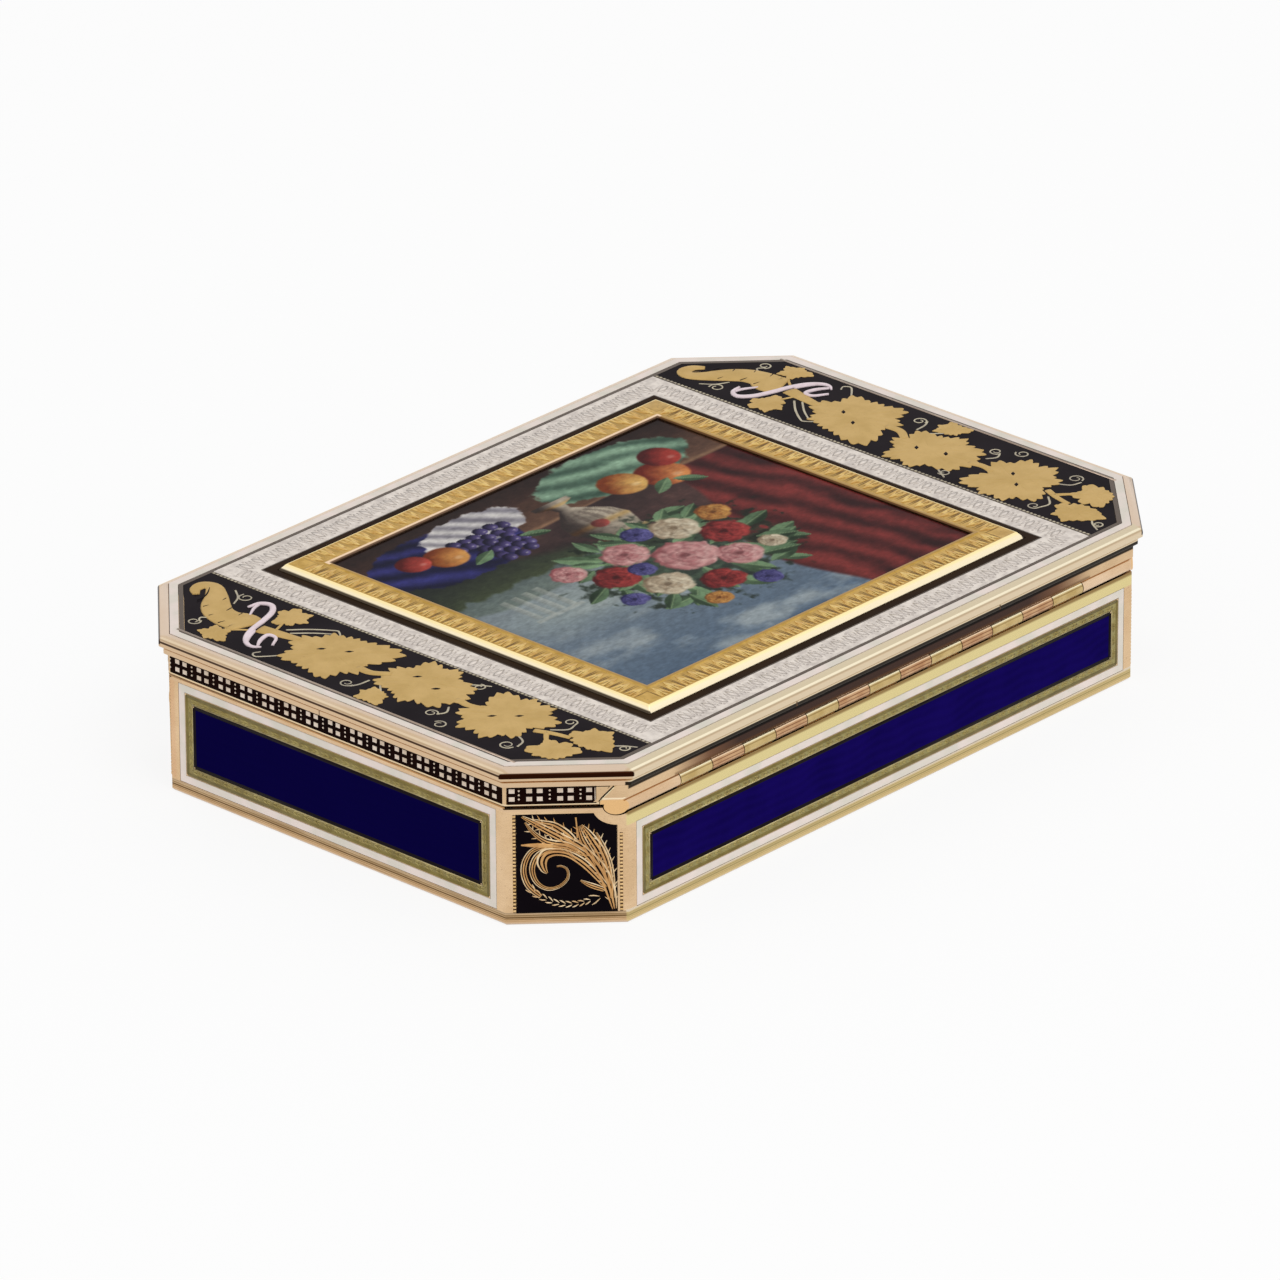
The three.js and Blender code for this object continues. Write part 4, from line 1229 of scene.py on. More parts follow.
def make_wall_band():
    """The band's ornament. On the hinge's corners it is set out from the corner's far edge."""
    runs, lines, light, rest, plates, repeat = [], Heap(), Heap(), Heap(), Heap(), Heap()
    for name in FACE_SIGNS:
        if name == "hinge_side":
            continue
        low, high = node_box(f"black_band_{name}")
        plane, width = face_plane(name, LID_WALL_INSET)
        middle = (low.z + high.z) / 2 + BAND_RISE
        if name in ("hinge_right", "hinge_left"):
            far = -1 if name == "hinge_right" else 1
            edge = far * width / 2
            for place, motif in BAND_CORNER:
                motif(rest, plane.moved(v=middle), edge - far * place)
            ends = sorted((edge - far * BAND_CORNER_START, edge - far * BAND_CORNER_END))
            plate = zip(BAND_PLATE, (low.z, low.z, high.z, high.z))
            flat_plate(plates, plane, [(edge - far * u, v) for u, v in plate], height=0.05)
            # The bright line beside the dark slanted one is a painted highlight.
            for shift, heap, half in ((0, lines, 0.07), (0.16, light, 0.05)):
                slant = [(edge - far * (u + shift), v) for u, v in BAND_SLANT]
                fine_line(heap, plane, *slant, half, height=0.07)
        else:
            ends = (-(width / 2 - BAND_MARGIN), width / 2 - BAND_MARGIN)
            runs.append(fitted_run(plane, (ends[0], middle), (ends[1], middle), BAND_PITCH))
        for v, half in ((low.z - 0.02, 0.07), (high.z + 0.05, 0.09)):
            fine_line(lines, plane, (ends[0], v), (ends[1], v), half, height=0.03)
    for u, motif in BAND_MOTIF:
        motif(repeat, FLAT, u)
    place_rows("lid", "gold", "wall_band_ornament", repeat, runs, BAND_PITCH, "band_silver")
    place_heaps("lid", (rest, "hinge_corner_ornament", "band_silver", "gold", False),
                (lines, "wall_band_edges", "band_enamel", "black_enamel"),
                (light, "wall_band_lines", "bright_gold", "gold"),
                (plates, "wall_band_ends", "wall_gold", "gold", False))


def rectangle_sides(half_u, half_v):
    """First and last place of four sides, each with the outside on its right hand."""
    corners = np.array([(half_u, -half_v), (half_u, half_v), (-half_u, half_v), (-half_u, -half_v)])
    return list(zip(corners, np.roll(corners, -1, axis=0)))


def rectangle_runs(plane, half_u, half_v, pitch, lift=0.0, inset_ends=0.0):
    """Four runs round a rectangle."""
    runs = []
    for first, last in rectangle_sides(half_u, half_v):
        draw = (last - first) / np.linalg.norm(last - first) * inset_ends
        runs.append(fitted_run(plane, first + draw, last - draw, pitch, lift))
    return runs


TIP_LENGTH = FRAME_FLAT * 0.9
# Leaf tip and grooves of the frame's chasing: foot and tip on one side as (u, share of the
# length), half width, height
TIP_SIDE = ((0.6, -0.5), (0.4, 0.25), 0.14, 0.06)
TIP_GROOVES = (((0.8, -0.48), (0.74, 0.5), 0.07, 0.02), ((0.2, -0.42), (0.1, 0.2), 0.05, 0.1))


def make_frame_chasing():
    """Leaf tips across the frame's flat, with a dark groove between every two."""
    middle = FRAME_BEVEL + FRAME_FLAT / 2
    leaf, groove = Heap(), Heap()
    pointed_leaf(leaf, (0, -TIP_LENGTH / 2), (0, TIP_LENGTH / 2), half=0.36, height=0.09)
    for side in (1, -1):
        scale = np.array([side, TIP_LENGTH])
        for heap, rows in ((leaf, (TIP_SIDE,)), (groove, TIP_GROOVES)):
            for foot, tip, half, height in rows:
                pointed_leaf(heap, scale * foot, scale * tip, half, height)
    runs = rectangle_runs(LID_PLANE, FRAME_HIGH.x - middle, FRAME_HIGH.y - middle, TIP_PITCH,
                          FRAME_FLAT_RISE, inset_ends=FRAME_FLAT * 0.3)
    for name, motif, finish in (("frame_leaf_tips", leaf, "frame_relief"),
                                ("frame_grooves", groove, "frame_shadow")):
        place_rows("lid", "gold", name, motif, runs, TIP_PITCH, finish, variation=0.1)


def make_pattern_band():
    """Low white leaves on the off-white band, each with a slightly greyer edge."""
    runs = rectangle_runs(LID_PLANE, PATTERN_HIGH.x - PATTERN_WIDTH_ENDS / 2,
                          PATTERN_HIGH.y - PATTERN_WIDTH_SIDES / 2, PATTERN_PITCH, inset_ends=0.4)
    for name, grow, height, finish in (("pattern_outlines", 1.0, 0.02, "grey_line"),
                                       ("pattern_leaves", 0.72, 0.045, "white_relief")):
        motif = Heap()
        foot, tip = (0.1, -0.9 * grow), (-0.1, 0.9 * grow)
        pointed_leaf(motif, foot, tip, half=0.34 * grow, height=height)
        for side in (1, -1):
            foot, tip = (side * 0.62, -0.8 * grow), (side * 0.5, 0.75 * grow)
            pointed_leaf(motif, foot, tip, half=0.16 * grow, height=height)
            u, v = side * 0.42, side * 0.95 * grow
            bead(motif, u, v, radius=0.13 * grow, height=height, around=6)
        place_rows("lid", "pattern_enamel", name, motif, runs, PATTERN_PITCH, finish, smooth=True)


def make_wall_top_lines():
    """A low fillet on the base wall's upper edge, which all but closes the line under the lid."""
    heap = Heap()
    for name in ("thumb_side", "right_end", "left_end"):
        plane, width = face_plane(name, BASE_INSET)
        level = plane.moved(v=WALL_HIGH.z + 0.02)
        fine_line(heap, level, (-width / 2, 0), (width / 2, 0), half=0.1, height=0.01)
    place_heaps("base", (heap, "wall_top_lines", "warm_gold", "gold"))


LAUREL_INSET = BORDER_WIDTH * 0.52
# Lines round the green borders: distance in, half width, height
OLIVE_EDGE = (0.04, 0.2, 0.03)
BRIGHT_LINE = (BORDER_WIDTH - 0.18, 0.06, 0.06)
PANEL_OUTLINE = (BORDER_WIDTH + 0.09, 0.2, 0.04)


def make_borders():
    """Laurel along the green borders, and the lines that edge them."""
    motif, bright, olive, dark = Heap(), Heap(), Heap(), Heap()
    for side in (1, -1):
        pointed_leaf(motif, (-0.5, side * 0.03), (0.22, side * 0.26), half=0.1, height=0.05)
        pointed_leaf(motif, (0, side * 0.03), (0.62, side * 0.2), half=0.08, height=0.05)
    runs = []
    for name in LONG_FACES:
        low, high = node_box(f"green_border_{name}")
        plane = face_plane(name, BASE_INSET)[0].moved(v=(high.z + low.z) / 2)
        half_u = high.y if plane.w[0] else high.x
        half_v = (high.z - low.z) / 2
        runs.extend(rectangle_runs(plane, half_u - LAUREL_INSET, half_v - LAUREL_INSET,
                                   LAUREL_PITCH))
        for heap, line in ((olive, OLIVE_EDGE), (bright, BRIGHT_LINE), (dark, PANEL_OUTLINE)):
            for first, last in rectangle_sides(half_u - line[0], half_v - line[0]):
                fine_line(heap, plane, first, last, *line[1:])
    place_rows("base", "green_gold", "border_laurel", motif, runs, LAUREL_PITCH, "laurel_gold",
               smooth=True)
    place_heaps("base", (bright, "border_lines", "laurel_light", "gold"),
                (olive, "border_edges", "olive_gold", "green_gold"),
                (dark, "panel_outlines", "black_enamel", "black_enamel"))


MILL_OFFSET = 0.19  # from the panels' inner edges in
PANEL_LINE_OFFSET = 0.2  # from their outer edges out
PANEL_LINE_END = 21.9


def make_panel_edges():
    """Milled lines along the end panels' inner edges, and plain lines along their outer ones."""
    motif, lines = Heap(), Heap()
    tile(motif, 0, 0, half_u=0.13, half_v=0.12, height=0.05, slope=0.04)
    runs = []
    for side in (1, -1):
        x, y = side * (END_PANEL_LOW.x - MILL_OFFSET), END_PANEL_HIGH.y
        runs.append(fitted_run(LID_PLANE, (x, -y), (x, y), MILL_PITCH))
        x, y = side * (END_PANEL_HIGH.x + PANEL_LINE_OFFSET), PANEL_LINE_END
        fine_line(lines, LID_PLANE, (x, -y), (x, y), half=0.16, height=0.05)
    place_rows("lid", "gold", "milled_lines", motif, runs, MILL_PITCH, "pale_gilding")
    place_heaps("lid", (lines, "panel_lines", "panel_gold", "gold"))


# Places along the rim where its lengths of moulding meet: face, place across, half width
RIM_JOINTS = (("hinge_side", -13.1, 0.1), ("hinge_side", 15.9, 0.1), ("right_end", -1.5, 0.07),
              ("thumb_side", 9.4, 0.07), ("left_end", 2.2, 0.07))
RIM_JOINT_INSET = 0.45
RIM_JOINT_GAPS = (0.05, 0.04)  # what a joint leaves free below and above


def make_rim_joints():
    heap = Heap()
    low = RIM_LOW.z + RIM_JOINT_GAPS[0]
    high = LID_TOP - RIM_LIP - RIM_GROOVE - RIM_JOINT_GAPS[1]
    for name, u, half in RIM_JOINTS:
        plane, _ = face_plane(name, RIM_JOINT_INSET)
        fine_line(heap, plane, (u, low), (u, high), half, height=0.02)
    place_heaps("lid", (heap, "rim_joints", "engraving", "rose_gold"))


# The picture: a still life of flowers and fruit before an evening sky
PAINT_COLUMNS = 300
PAINT_ROWS = 272
PICTURE_EDGE = 0.42  # the picture's edge above the lid's face
PICTURE_DOME = 0.16 * 0.96  # height of the picture's middle above its edge
NOISE_CELLS = 97  # cells to a side of the table of random values, after which it repeats


def soft_step(value, low, high):
    share = np.clip((value - low) / (high - low), 0, 1)
    return share * share * (3 - 2 * share)


def smooth_noise(x, y, seed):
    """Soft random values between 0 and 1 with one hump to each unit of x and y."""
    table = np.random.default_rng(seed).random((NOISE_CELLS, NOISE_CELLS))
    column, row = np.floor(x).astype(int), np.floor(y).astype(int)
    share_x, share_y = soft_step(x - column, 0, 1), soft_step(y - row, 0, 1)
    right, above = (column + 1) % NOISE_CELLS, (row + 1) % NOISE_CELLS
    column, row = column % NOISE_CELLS, row % NOISE_CELLS
    low = table[row, column] * (1 - share_x) + table[row, right] * share_x
    high = table[above, column] * (1 - share_x) + table[above, right] * share_x
    return low * (1 - share_y) + high * share_y


def cloud_noise(x, y, seed, octaves=4):
    total = sum(smooth_noise(x * 2 ** k, y * 2 ** k, seed + k) / 2 ** k for k in range(octaves))
    return total / sum(1 / 2 ** k for k in range(octaves))


def mixed(first, second, share):
    """Colours between the first and the second, by a share for each point."""
    share = share[:, None]
    return np.array(first) * (1 - share) + np.array(second) * share


class Picture:
    """Colour laid in soft strokes over points of the picture, in millimetres from its middle."""

    def __init__(self, x, y):
        self.x = x
        self.y = y
        self.color = np.zeros((len(x), 3))
        self.hand = cloud_noise(x * 1.1, y * 1.1, 5, 3) - 0.5

    def lay(self, mask, color):
        self.color += mask[:, None] * (np.asarray(color, float) - self.color)

    def shade(self, mask, dark, light, amount):
        """Lays tones between dark and light, with a little unevenness of the hand."""
        self.lay(mask, mixed(dark, light, np.clip(amount + self.hand * 0.35, 0, 1)))

    def turned(self, centre, turn):
        """The places of all points seen from a centre, with the axes turned by so many degrees."""
        angle = math.radians(turn)
        dx, dy = self.x - centre[0], self.y - centre[1]
        return (dx * math.cos(angle) + dy * math.sin(angle),
                -dx * math.sin(angle) + dy * math.cos(angle))

    def oval(self, centre, size, turn=0.0, soft=0.12, rough=0.12):
        """Mask of an oval with a hand-drawn edge, and the place across it from -1 to 1."""
        across, up = (way / half for way, half in zip(self.turned(centre, turn), size))
        reach = np.hypot(across, up) + self.hand * rough * 2
        return 1 - soft_step(reach, 1 - soft, 1 + soft * 0.4), across, up

    def ball(self, centre, size, dark, light, shine=0.25):
        """A round fruit or berry lit from the upper left."""
        mask, across, up = self.oval(centre, size, soft=0.1, rough=0.04)
        lit = 0.5 - across * 0.42 + up * 0.42 - 0.25 * (across ** 2 + up ** 2)
        self.shade(mask, dark, light, lit)
        spot, _, _ = self.oval((centre[0] - size[0] * 0.36, centre[1] + size[1] * 0.38),
                               (size[0] * 0.24, size[1] * 0.18), soft=0.8)
        self.lay(spot * shine, (0.96, 0.94, 0.88))

    def rose(self, centre, radius, dark, light, seed):
        """Rings of overlapping petals, the innermost darkest."""
        random = np.random.default_rng(seed)
        mask, across, up = self.oval(centre, (radius, radius * 0.92), rough=0.2)
        self.shade(mask, dark, light, 0.5 - across * 0.25 + up * 0.25)
        for ring in range(4):
            reach = radius * (0.72 - 0.19 * ring)
            size = radius * (0.42 - 0.07 * ring)
            count = 6 - ring
            start = random.random() * 360
            for k in range(count):
                angle = math.radians(start + 360 * k / count)
                turn = math.degrees(angle) + 90
                spot = (centre[0] + reach * math.cos(angle),
                        centre[1] + reach * 0.9 * math.sin(angle))
                petal = self.oval(spot, (size, size * 0.72), turn, soft=0.2)[0]
                lightness = 0.62 - 0.1 * ring + 0.18 * random.random()
                self.lay(petal * 0.35, np.array(dark) * 0.75)
                inner, _, up = self.oval((spot[0] - 0.06 * radius, spot[1] + 0.07 * radius),
                                         (size * 0.88, size * 0.6), turn, soft=0.35)
                self.shade(inner * 0.8, dark, light, lightness + up * 0.3)
        heart = self.oval(centre, (radius * 0.2, radius * 0.17), soft=0.5)[0]
        self.lay(heart * 0.7, np.array(dark) * 0.7)

    def leaf(self, centre, size, turn, lightness):
        along, side = self.turned(centre, turn)
        along, side = along / size, side / (size * 0.42)
        inside = 1 - along ** 2 - np.abs(side) + self.hand * 0.15
        mask = soft_step(inside, -0.05, 0.12) * (np.abs(along) < 1)
        lit = lightness + 0.25 * np.sign(side) * np.minimum(1, np.abs(side) * 3) - 0.12 * along
        self.shade(mask, (0.13, 0.2, 0.13), (0.5, 0.64, 0.46), lit)
        self.lay(np.exp(-(side / 0.09) ** 2) * mask * 0.55, (0.6, 0.7, 0.5))

    def cloth(self, mask, dark, light, turn, spacing, seed):
        """Cloth that hangs in folds across the mask."""
        across = self.turned((0, 0), turn)[0]
        warp = cloud_noise(self.x / 7, self.y / 7, seed, 3) * 2.6
        fold = np.sin(across * FULL_TURN / spacing + warp * 2.2)
        self.shade(mask, dark, light, 0.5 + 0.36 * fold + 0.25 * (warp - 1.3))


def paint_sky(picture):
    """Evening sky with clouds, far hills and trees, and a small temple."""
    x, y = picture.x, picture.y
    height = np.clip((y + 4) / 24, 0, 1)
    picture.lay(np.ones(len(x)), mixed((0.5, 0.54, 0.56), (0.33, 0.41, 0.5), height))
    cloud = soft_step(cloud_noise(x / 10 + 3, y / 4.5 + 8, 31, 5), 0.5, 0.72)
    picture.shade(cloud * 0.65, (0.46, 0.5, 0.53), (0.72, 0.75, 0.74), (y + 6) / 24)
    picture.lay(picture.oval((13, 3), (13, 5.5), soft=0.9)[0] * 0.4, (0.72, 0.76, 0.7))
    hills = soft_step(-2.5 + 2.2 * smooth_noise(x / 6 + 2, y * 0 + 3, 41) - y, -0.2, 0.6)
    picture.shade(hills, (0.28, 0.33, 0.35), (0.42, 0.47, 0.44), 0.5 + (y + 5) / 8)
    trees = soft_step(-5.2 + 2.6 * cloud_noise(x / 1.6, y * 0 + 6, 43, 3) - y, -0.2, 0.5)
    picture.shade(trees, (0.14, 0.16, 0.14), (0.27, 0.31, 0.2), 0.5 + (y + 6) / 6)
    for k in range(4):
        left = 14.2 + 1.5 * k
        tall = (y > -2.2) * (y < 3.2 - 0.35 * (k % 2))
        column = soft_step(0.42 - np.abs(x - left), -0.1, 0.12) * tall
        picture.shade(column * 0.5, (0.5, 0.52, 0.5), (0.78, 0.78, 0.72), 0.5 - (x - left))
    beam = soft_step(0.3 - np.abs(y - 3.3), -0.1, 0.12) * (np.abs(x - 16.4) < 3.1)
    picture.lay(beam * 0.5, (0.7, 0.71, 0.67))


def paint_room(picture):
    """A dark wall, a red hanging on the left, and the shelf that everything stands on."""
    x, y = picture.x, picture.y
    edge = -8 + 0.55 * (x + 6) + 6 * cloud_noise(x / 9, y / 9, 51, 3) - 1.15 * x
    wall = soft_step(edge - y, -1.5, 1.5)
    picture.shade(wall, (0.14, 0.1, 0.11), (0.36, 0.24, 0.22), cloud_noise(x / 6, y / 6, 53))
    hanging = soft_step(-9.5 - x + 2.5 * np.sin(y / 5.5) + 0.12 * (y - 4), -0.3, 0.5)
    picture.cloth(hanging, (0.2, 0.07, 0.08), (0.52, 0.18, 0.17), 12, 4.2, 61)
    shelf = soft_step(-11.2 + 0.25 * np.sin(x / 4) - y, -0.15, 0.25)
    picture.shade(shelf, (0.2, 0.12, 0.1), (0.46, 0.32, 0.24), 0.55 + (y + 14) / 10)
    picture.lay(np.exp(-((y + 11.4) / 0.28) ** 2) * 0.55 * shelf, (0.66, 0.5, 0.36))
    front = soft_step(-16.6 - y, -0.1, 0.2)
    picture.shade(front, (0.1, 0.06, 0.06), (0.27, 0.17, 0.14), 0.5 + (y + 19) / 6)


# Draped cloths: middle, half size, raggedness, softness, dark and light tone, turn, folds, seed
CLOTHS = (
    ((14.5, -13.4), (9.5, 5.4), 0.4, 0.08, (0.04, 0.04, 0.16), (0.2, 0.2, 0.5), 62, 3.4, 71),
    ((8.2, -15.8), (6.6, 3.3), 0.5, 0.1, (0.5, 0.48, 0.52), (0.93, 0.91, 0.88), 38, 2.2, 73),
    ((-11, -15.5), (10, 4.6), 0.4, 0.1, (0.22, 0.33, 0.27), (0.56, 0.7, 0.58), 70, 3.0, 75),
)


def paint_cloths(picture):
    for centre, size, ragged, soft, *look in CLOTHS:
        across, up = (picture.x - centre[0]) / size[0], (picture.y - centre[1]) / size[1]
        inside = 1 - across ** 2 - up ** 2 + picture.hand * ragged
        picture.cloth(soft_step(inside, -0.05, soft), *look)


# The urn's outline: height and half width, from the foot up
URN = ((-14.6, 2.6), (-13.9, 2.6), (-13.4, 1.2), (-12.4, 0.9), (-11.4, 1.9), (-9.6, 3.6),
       (-7.6, 4.1), (-6.0, 3.5), (-5.0, 3.0), (-4.2, 3.9))
URN_MIDDLE = -1.0


def paint_urn(picture):
    """A gilt and stone urn."""
    y = picture.y
    heights, halves = zip(*URN)
    half = np.interp(y, heights, halves)
    across = (picture.x - URN_MIDDLE) / half
    mask = soft_step((1 - np.abs(across)) * half, -0.05, 0.25)
    mask = mask * (y > heights[0]) * (y < heights[-1])
    lit = 0.55 - 0.55 * across - 0.35 * across ** 2
    picture.shade(mask, (0.2, 0.16, 0.15), (0.82, 0.76, 0.66), lit)
    flutes = (np.sin(np.arcsin(np.clip(across, -1, 1)) * 16) > 0) * (y > -11.2) * (y < -8.2)
    picture.lay(mask * flutes * 0.28, (0.26, 0.2, 0.18))
    for level, wide in ((-4.5, 0.35), (-7.7, 0.5), (-13.6, 0.3)):
        ring = np.exp(-((y - level) / wide) ** 2) * mask
        picture.shade(ring * 0.7, (0.34, 0.2, 0.08), (0.92, 0.74, 0.4), lit)
    boss, across, up = picture.oval((URN_MIDDLE, -7.7), (1.1, 0.9), soft=0.2)
    picture.shade(boss * 0.9, (0.3, 0.1, 0.1), (0.72, 0.26, 0.24), 0.5 - across * 0.4 + up * 0.3)


RED = ((0.3, 0.04, 0.06), (0.85, 0.3, 0.27))
PINK = ((0.6, 0.28, 0.3), (0.97, 0.8, 0.76))
CREAM = ((0.55, 0.44, 0.33), (0.98, 0.94, 0.82))
GOLDEN = ((0.5, 0.24, 0.08), (0.95, 0.72, 0.36))
VIOLET = ((0.1, 0.09, 0.3), (0.5, 0.48, 0.74))
FLOWERS = (
    ((-7.6, 2.4), 2.6, RED), ((-4.9, 6.9), 2.5, PINK), ((4.9, 6.6), 2.6, CREAM),
    ((0.4, 9.6), 2.3, RED), ((7.2, 2.0), 2.5, RED), ((-10.2, -1.4), 1.9, GOLDEN),
    ((9.8, -1.9), 1.9, PINK),
    ((-2.8, 12.4), 1.5, VIOLET), ((3.9, 12.2), 1.5, GOLDEN), ((9.6, 6.6), 1.5, VIOLET),
    ((-9.2, 7.2), 1.5, CREAM), ((-4.8, -1.6), 2.7, CREAM), ((2.9, -1.0), 2.6, PINK),
    ((-1.0, 3.4), 3.4, PINK), ((4.2, 2.6), 1.5, VIOLET), ((-1.2, -3.2), 1.7, VIOLET),
)
BOUQUET = (-0.8, 3.4)


def paint_flowers(picture):
    """A dark mass of green, leaves that stand out of it, and the flowers."""
    random = np.random.default_rng(17)
    mass = picture.oval(BOUQUET, (11.0, 8.8), soft=0.25, rough=0.6)[0]
    picture.shade(mass * 0.85, (0.1, 0.14, 0.1), (0.3, 0.4, 0.28), 0.35 + picture.hand)
    for _ in range(64):
        angle = random.random() * FULL_TURN
        reach = 0.35 + 0.75 * math.sqrt(random.random())
        spot = (BOUQUET[0] + 11.2 * reach * math.cos(angle),
                BOUQUET[1] + 8.9 * reach * math.sin(angle))
        turn = math.degrees(math.atan2(spot[1] - 1.0, spot[0] + 0.8)) + random.normal(0, 28)
        picture.leaf(spot, 1.5 + 1.1 * random.random(), turn, 0.3 + 0.4 * random.random())
    for number, (centre, radius, tones) in enumerate(FLOWERS):
        picture.rose(centre, radius, *tones, seed=100 + number)


# Fruit on the left and on the right: middle, size, dark and light tone. Then leaves: middle,
# size, turn, lightness
FRUIT = (
    (((-13.6, -11.2), (3.0, 2.8), (0.42, 0.1, 0.05), (0.96, 0.62, 0.32)),
     ((-9.2, -12.4), (2.7, 2.5), (0.5, 0.2, 0.06), (0.98, 0.8, 0.42)),
     ((-16.4, -14.2), (2.3, 2.2), (0.3, 0.05, 0.06), (0.82, 0.26, 0.2))),
    (((14.6, -13.4), (2.4, 2.3), (0.45, 0.16, 0.04), (0.97, 0.7, 0.34)),
     ((17.9, -14.6), (1.9, 1.8), (0.34, 0.06, 0.06), (0.86, 0.32, 0.26))),
)
FRUIT_LEAVES = (
    (((-11.6, -9.2), 2.0, 30, 0.6), ((-14.8, -8.5), 1.8, 140, 0.5)),
    (((12.2, -10.6), 1.9, 20, 0.55), ((4.8, -10.8), 1.7, 155, 0.45)),
)


def paint_group(picture, side):
    for row in FRUIT[side]:
        picture.ball(*row)
    for row in FRUIT_LEAVES[side]:
        picture.leaf(*row)


def paint_fruit(picture):
    """Fruit with its leaves on both sides, and a bunch of grapes."""
    random = np.random.default_rng(23)
    paint_group(picture, 0)
    for k in range(34):
        row, column = divmod(k, 6)
        spot = (5.4 + column * 1.35 + 0.6 * (row % 2) + 0.2 * random.normal(),
                -14.6 + row * 1.15 + 0.2 * random.normal())
        if abs(spot[0] - 9.0) <= 4.6 - 0.55 * row:
            picture.ball(spot, (0.82, 0.82), (0.06, 0.04, 0.16), (0.42, 0.36, 0.62), shine=0.5)
    paint_group(picture, 1)


def paint_picture(x, y):
    """Linear colours at the picture's points, a little muted and uneven as brushed enamel is."""
    picture = Picture(x, y)
    for layer in (paint_sky, paint_room, paint_cloths, paint_urn, paint_flowers, paint_fruit):
        layer(picture)
    strokes = cloud_noise(x * 1.6 + y * 0.4, y * 2.6 - x * 0.5, 81, 3) - 0.5
    muted = 0.84 * picture.color + 0.1 * picture.color.mean(axis=1, keepdims=True)
    return linear(np.clip(muted * (1 + 0.22 * strokes[:, None]), 0, 1))


def make_picture():
    """The domed enamel plaque as a closed sheet with the painting's colours on its points."""
    low, high = PICTURE_LOW, PICTURE_HIGH
    columns = np.linspace(low.x, high.x, PAINT_COLUMNS)
    x, y = (side.ravel() for side in np.meshgrid(columns, np.linspace(low.y, high.y, PAINT_ROWS)))
    dome = (1 - (x / high.x) ** 2) * (1 - (y / high.y) ** 2)
    points = np.column_stack([x, y, LID_TOP + PICTURE_EDGE + PICTURE_DOME * dome])
    grid = np.arange(len(points)).reshape(PAINT_ROWS, PAINT_COLUMNS)
    quads = np.stack([grid[:-1, :-1], grid[:-1, 1:], grid[1:, 1:], grid[1:, :-1]], axis=-1)
    edge = np.concatenate([grid[0], grid[1:, -1], grid[-1, -2::-1], grid[-2:0:-1, 0]])
    foot = points[edge].copy()
    foot[:, 2] = low.z
    below = len(points) + np.arange(len(edge))
    walls = np.column_stack([edge, below, np.roll(below, -1), np.roll(edge, -1)])
    faces = [*quads.reshape(-1, 4).tolist(), *walls.tolist(), below[::-1].tolist()]
    piece = make_object("painted_plaque", np.vstack([points, foot]), faces, "painted_enamel")
    colors = np.ones((len(points) + len(edge), 4))
    colors[:len(points), :3] = paint_picture(x, y)
    colors[len(points):, :3] = (0.05, 0.03, 0.03)
    paint = piece.data.color_attributes.new("paint", "FLOAT_COLOR", "POINT")
    paint.data.foreach_set("color", colors.ravel())
    place_piece(piece, "lid", "painted_enamel", "picture")


# Camera, light and ground

def aimed(place, aim):
    """The place and turn of something that stands at one point and looks at another."""
    start = Vector(place) * MM
    turn = (Vector(aim) * MM - start).to_track_quat("-Z", "Y").to_matrix().to_4x4()
    return Matrix.Translation(start) @ turn


def make_camera():
    data = bpy.data.cameras.new("camera")
    data.lens = CAMERA_LENS
    data.sensor_width = SENSOR_WIDTH
    data.clip_end = CAMERA_REACH
    camera = link_object("camera", data)
    camera.matrix_world = aimed(CAMERA_PLACE, CAMERA_AIM) @ Matrix.Rotation(CAMERA_ROLL, 4, "Z")
    bpy.context.scene.camera = camera


def make_lamp():
    data = bpy.data.lights.new("key", "AREA")
    data.size = KEY_SIZE * MM
    data.energy = KEY_WATTS
    link_object("key", data).matrix_world = aimed(KEY_PLACE, (0, 0, 0))


def make_world():
    """Soft light, and plain white wherever the world itself is seen or mirrored."""
    world = bpy.data.worlds.new("studio")
    bpy.context.scene.world = world
    world.use_nodes = True
    world.node_tree.nodes.clear()
    wiring = Wiring(world.node_tree)
    soft = wiring.node("ShaderNodeBackground", {"Strength": SKY_STRENGTH})[0]
    seen = wiring.node("ShaderNodeBackground", {"Color": (1, 1, 1, 1), "Strength": 1.0})[0]
    rays = wiring.node("ShaderNodeLightPath")
    either = wiring.math("MAXIMUM", rays["Is Camera Ray"], rays["Is Glossy Ray"])
    any_of_three = wiring.math("MAXIMUM", either, rays["Is Transmission Ray"])
    mix = wiring.node("ShaderNodeMixShader", {0: any_of_three, 1: soft, 2: seen})[0]
    wiring.node("ShaderNodeOutputWorld", {"Surface": mix})


FLOOR_HALF = 1500
FLOOR_LOW = -0.02
FLOOR_GLOW = 0.86  # share of the floor's white that doesn't depend on the light


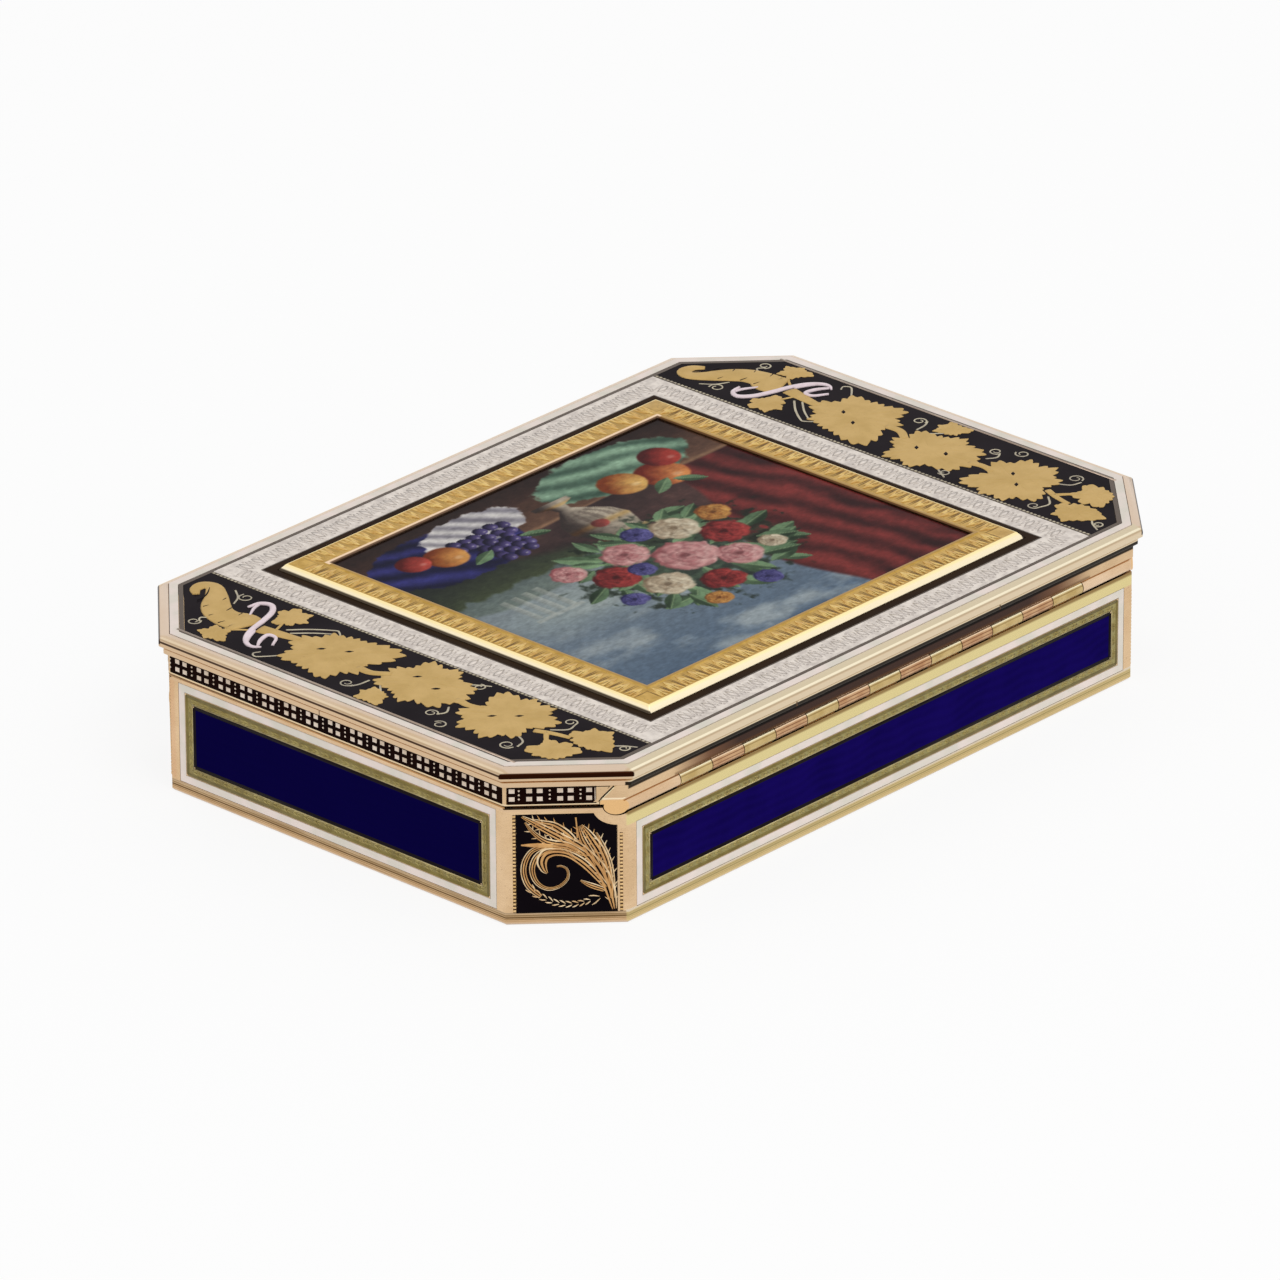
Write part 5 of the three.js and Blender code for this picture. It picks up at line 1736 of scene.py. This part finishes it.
def make_ground():
    """A white floor, seen from above only, so that the underside can be looked at."""
    corners = [(x * FLOOR_HALF, y * FLOOR_HALF, FLOOR_LOW)
               for x, y in ((-1, -1), (1, -1), (1, 1), (-1, 1))]
    floor = make_object("floor", corners, [(0, 1, 2, 3)], None, smooth=False)
    material = bpy.data.materials.new("floor")
    material.use_nodes = True
    material.node_tree.nodes.clear()
    wiring = Wiring(material.node_tree)
    paper = wiring.node("ShaderNodeBsdfDiffuse", {"Color": (0.92, 0.92, 0.92, 1)})[0]
    glow = wiring.node("ShaderNodeEmission", {"Strength": 1.0})[0]
    white = wiring.node("ShaderNodeMixShader", {0: FLOOR_GLOW, 1: paper, 2: glow})[0]
    below = wiring.node("ShaderNodeNewGeometry")["Backfacing"]
    clear = wiring.node("ShaderNodeBsdfTransparent")[0]
    one_sided = wiring.node("ShaderNodeMixShader", {0: below, 1: white, 2: clear})[0]
    wiring.node("ShaderNodeOutputMaterial", {"Surface": one_sided})
    floor.data.materials.append(material)


# Metal parts with their edges rounded off: node, slot, finish, width of the edge, steps
SOFT_PARTS = (
    ("lid_rim", "rose_gold", "rose_gold", 0.1, 3),
    ("picture_frame", "gold", "frame_gold", 0.06, 2),
)
BEVEL_ANGLE = math.radians(22)
FLAT_ANGLE = math.radians(1)  # faces that meet at less than this are one flat face
WELD = 0.001  # corners closer than this are one corner


def make_soft_parts():
    """The CAD nodes' solids again with rounded edges, as new pieces."""
    for name, slot, finish, width, steps in SOFT_PARTS:
        mesh = frame["nodes"][name].data.copy()
        solid = bmesh.new()
        solid.from_mesh(mesh)
        bmesh.ops.remove_doubles(solid, verts=solid.verts, dist=WELD * MM)
        bmesh.ops.dissolve_limit(solid, angle_limit=FLAT_ANGLE, verts=solid.verts,
                                 edges=solid.edges)
        bmesh.ops.recalc_face_normals(solid, faces=solid.faces)
        solid.to_mesh(mesh)
        solid.free()
        mesh.shade_smooth()
        mesh.materials.clear()
        mesh.materials.append(FINISHES[finish].material)
        carrier = link_object(name, mesh)
        bevel = carrier.modifiers.new("edges", "BEVEL")
        bevel.width = width * MM
        bevel.segments = steps
        bevel.limit_method = "ANGLE"
        bevel.angle_limit = BEVEL_ANGLE
        bevel.harden_normals = True
        place_piece(finished_mesh(carrier, f"{name}_rounded"), "lid", slot, name)


bpy.context.scene.view_settings.view_transform = "Standard"
make_camera()
make_world()
make_ground()
make_lamp()
dress_nodes()
make_soft_parts()
make_vine()
make_panel_edges()
make_pattern_band()
make_frame_chasing()
make_wall_band()
make_wall_top_lines()
make_rim_joints()
make_corner_scrolls()
make_corner_ladders()
make_borders()
make_picture()
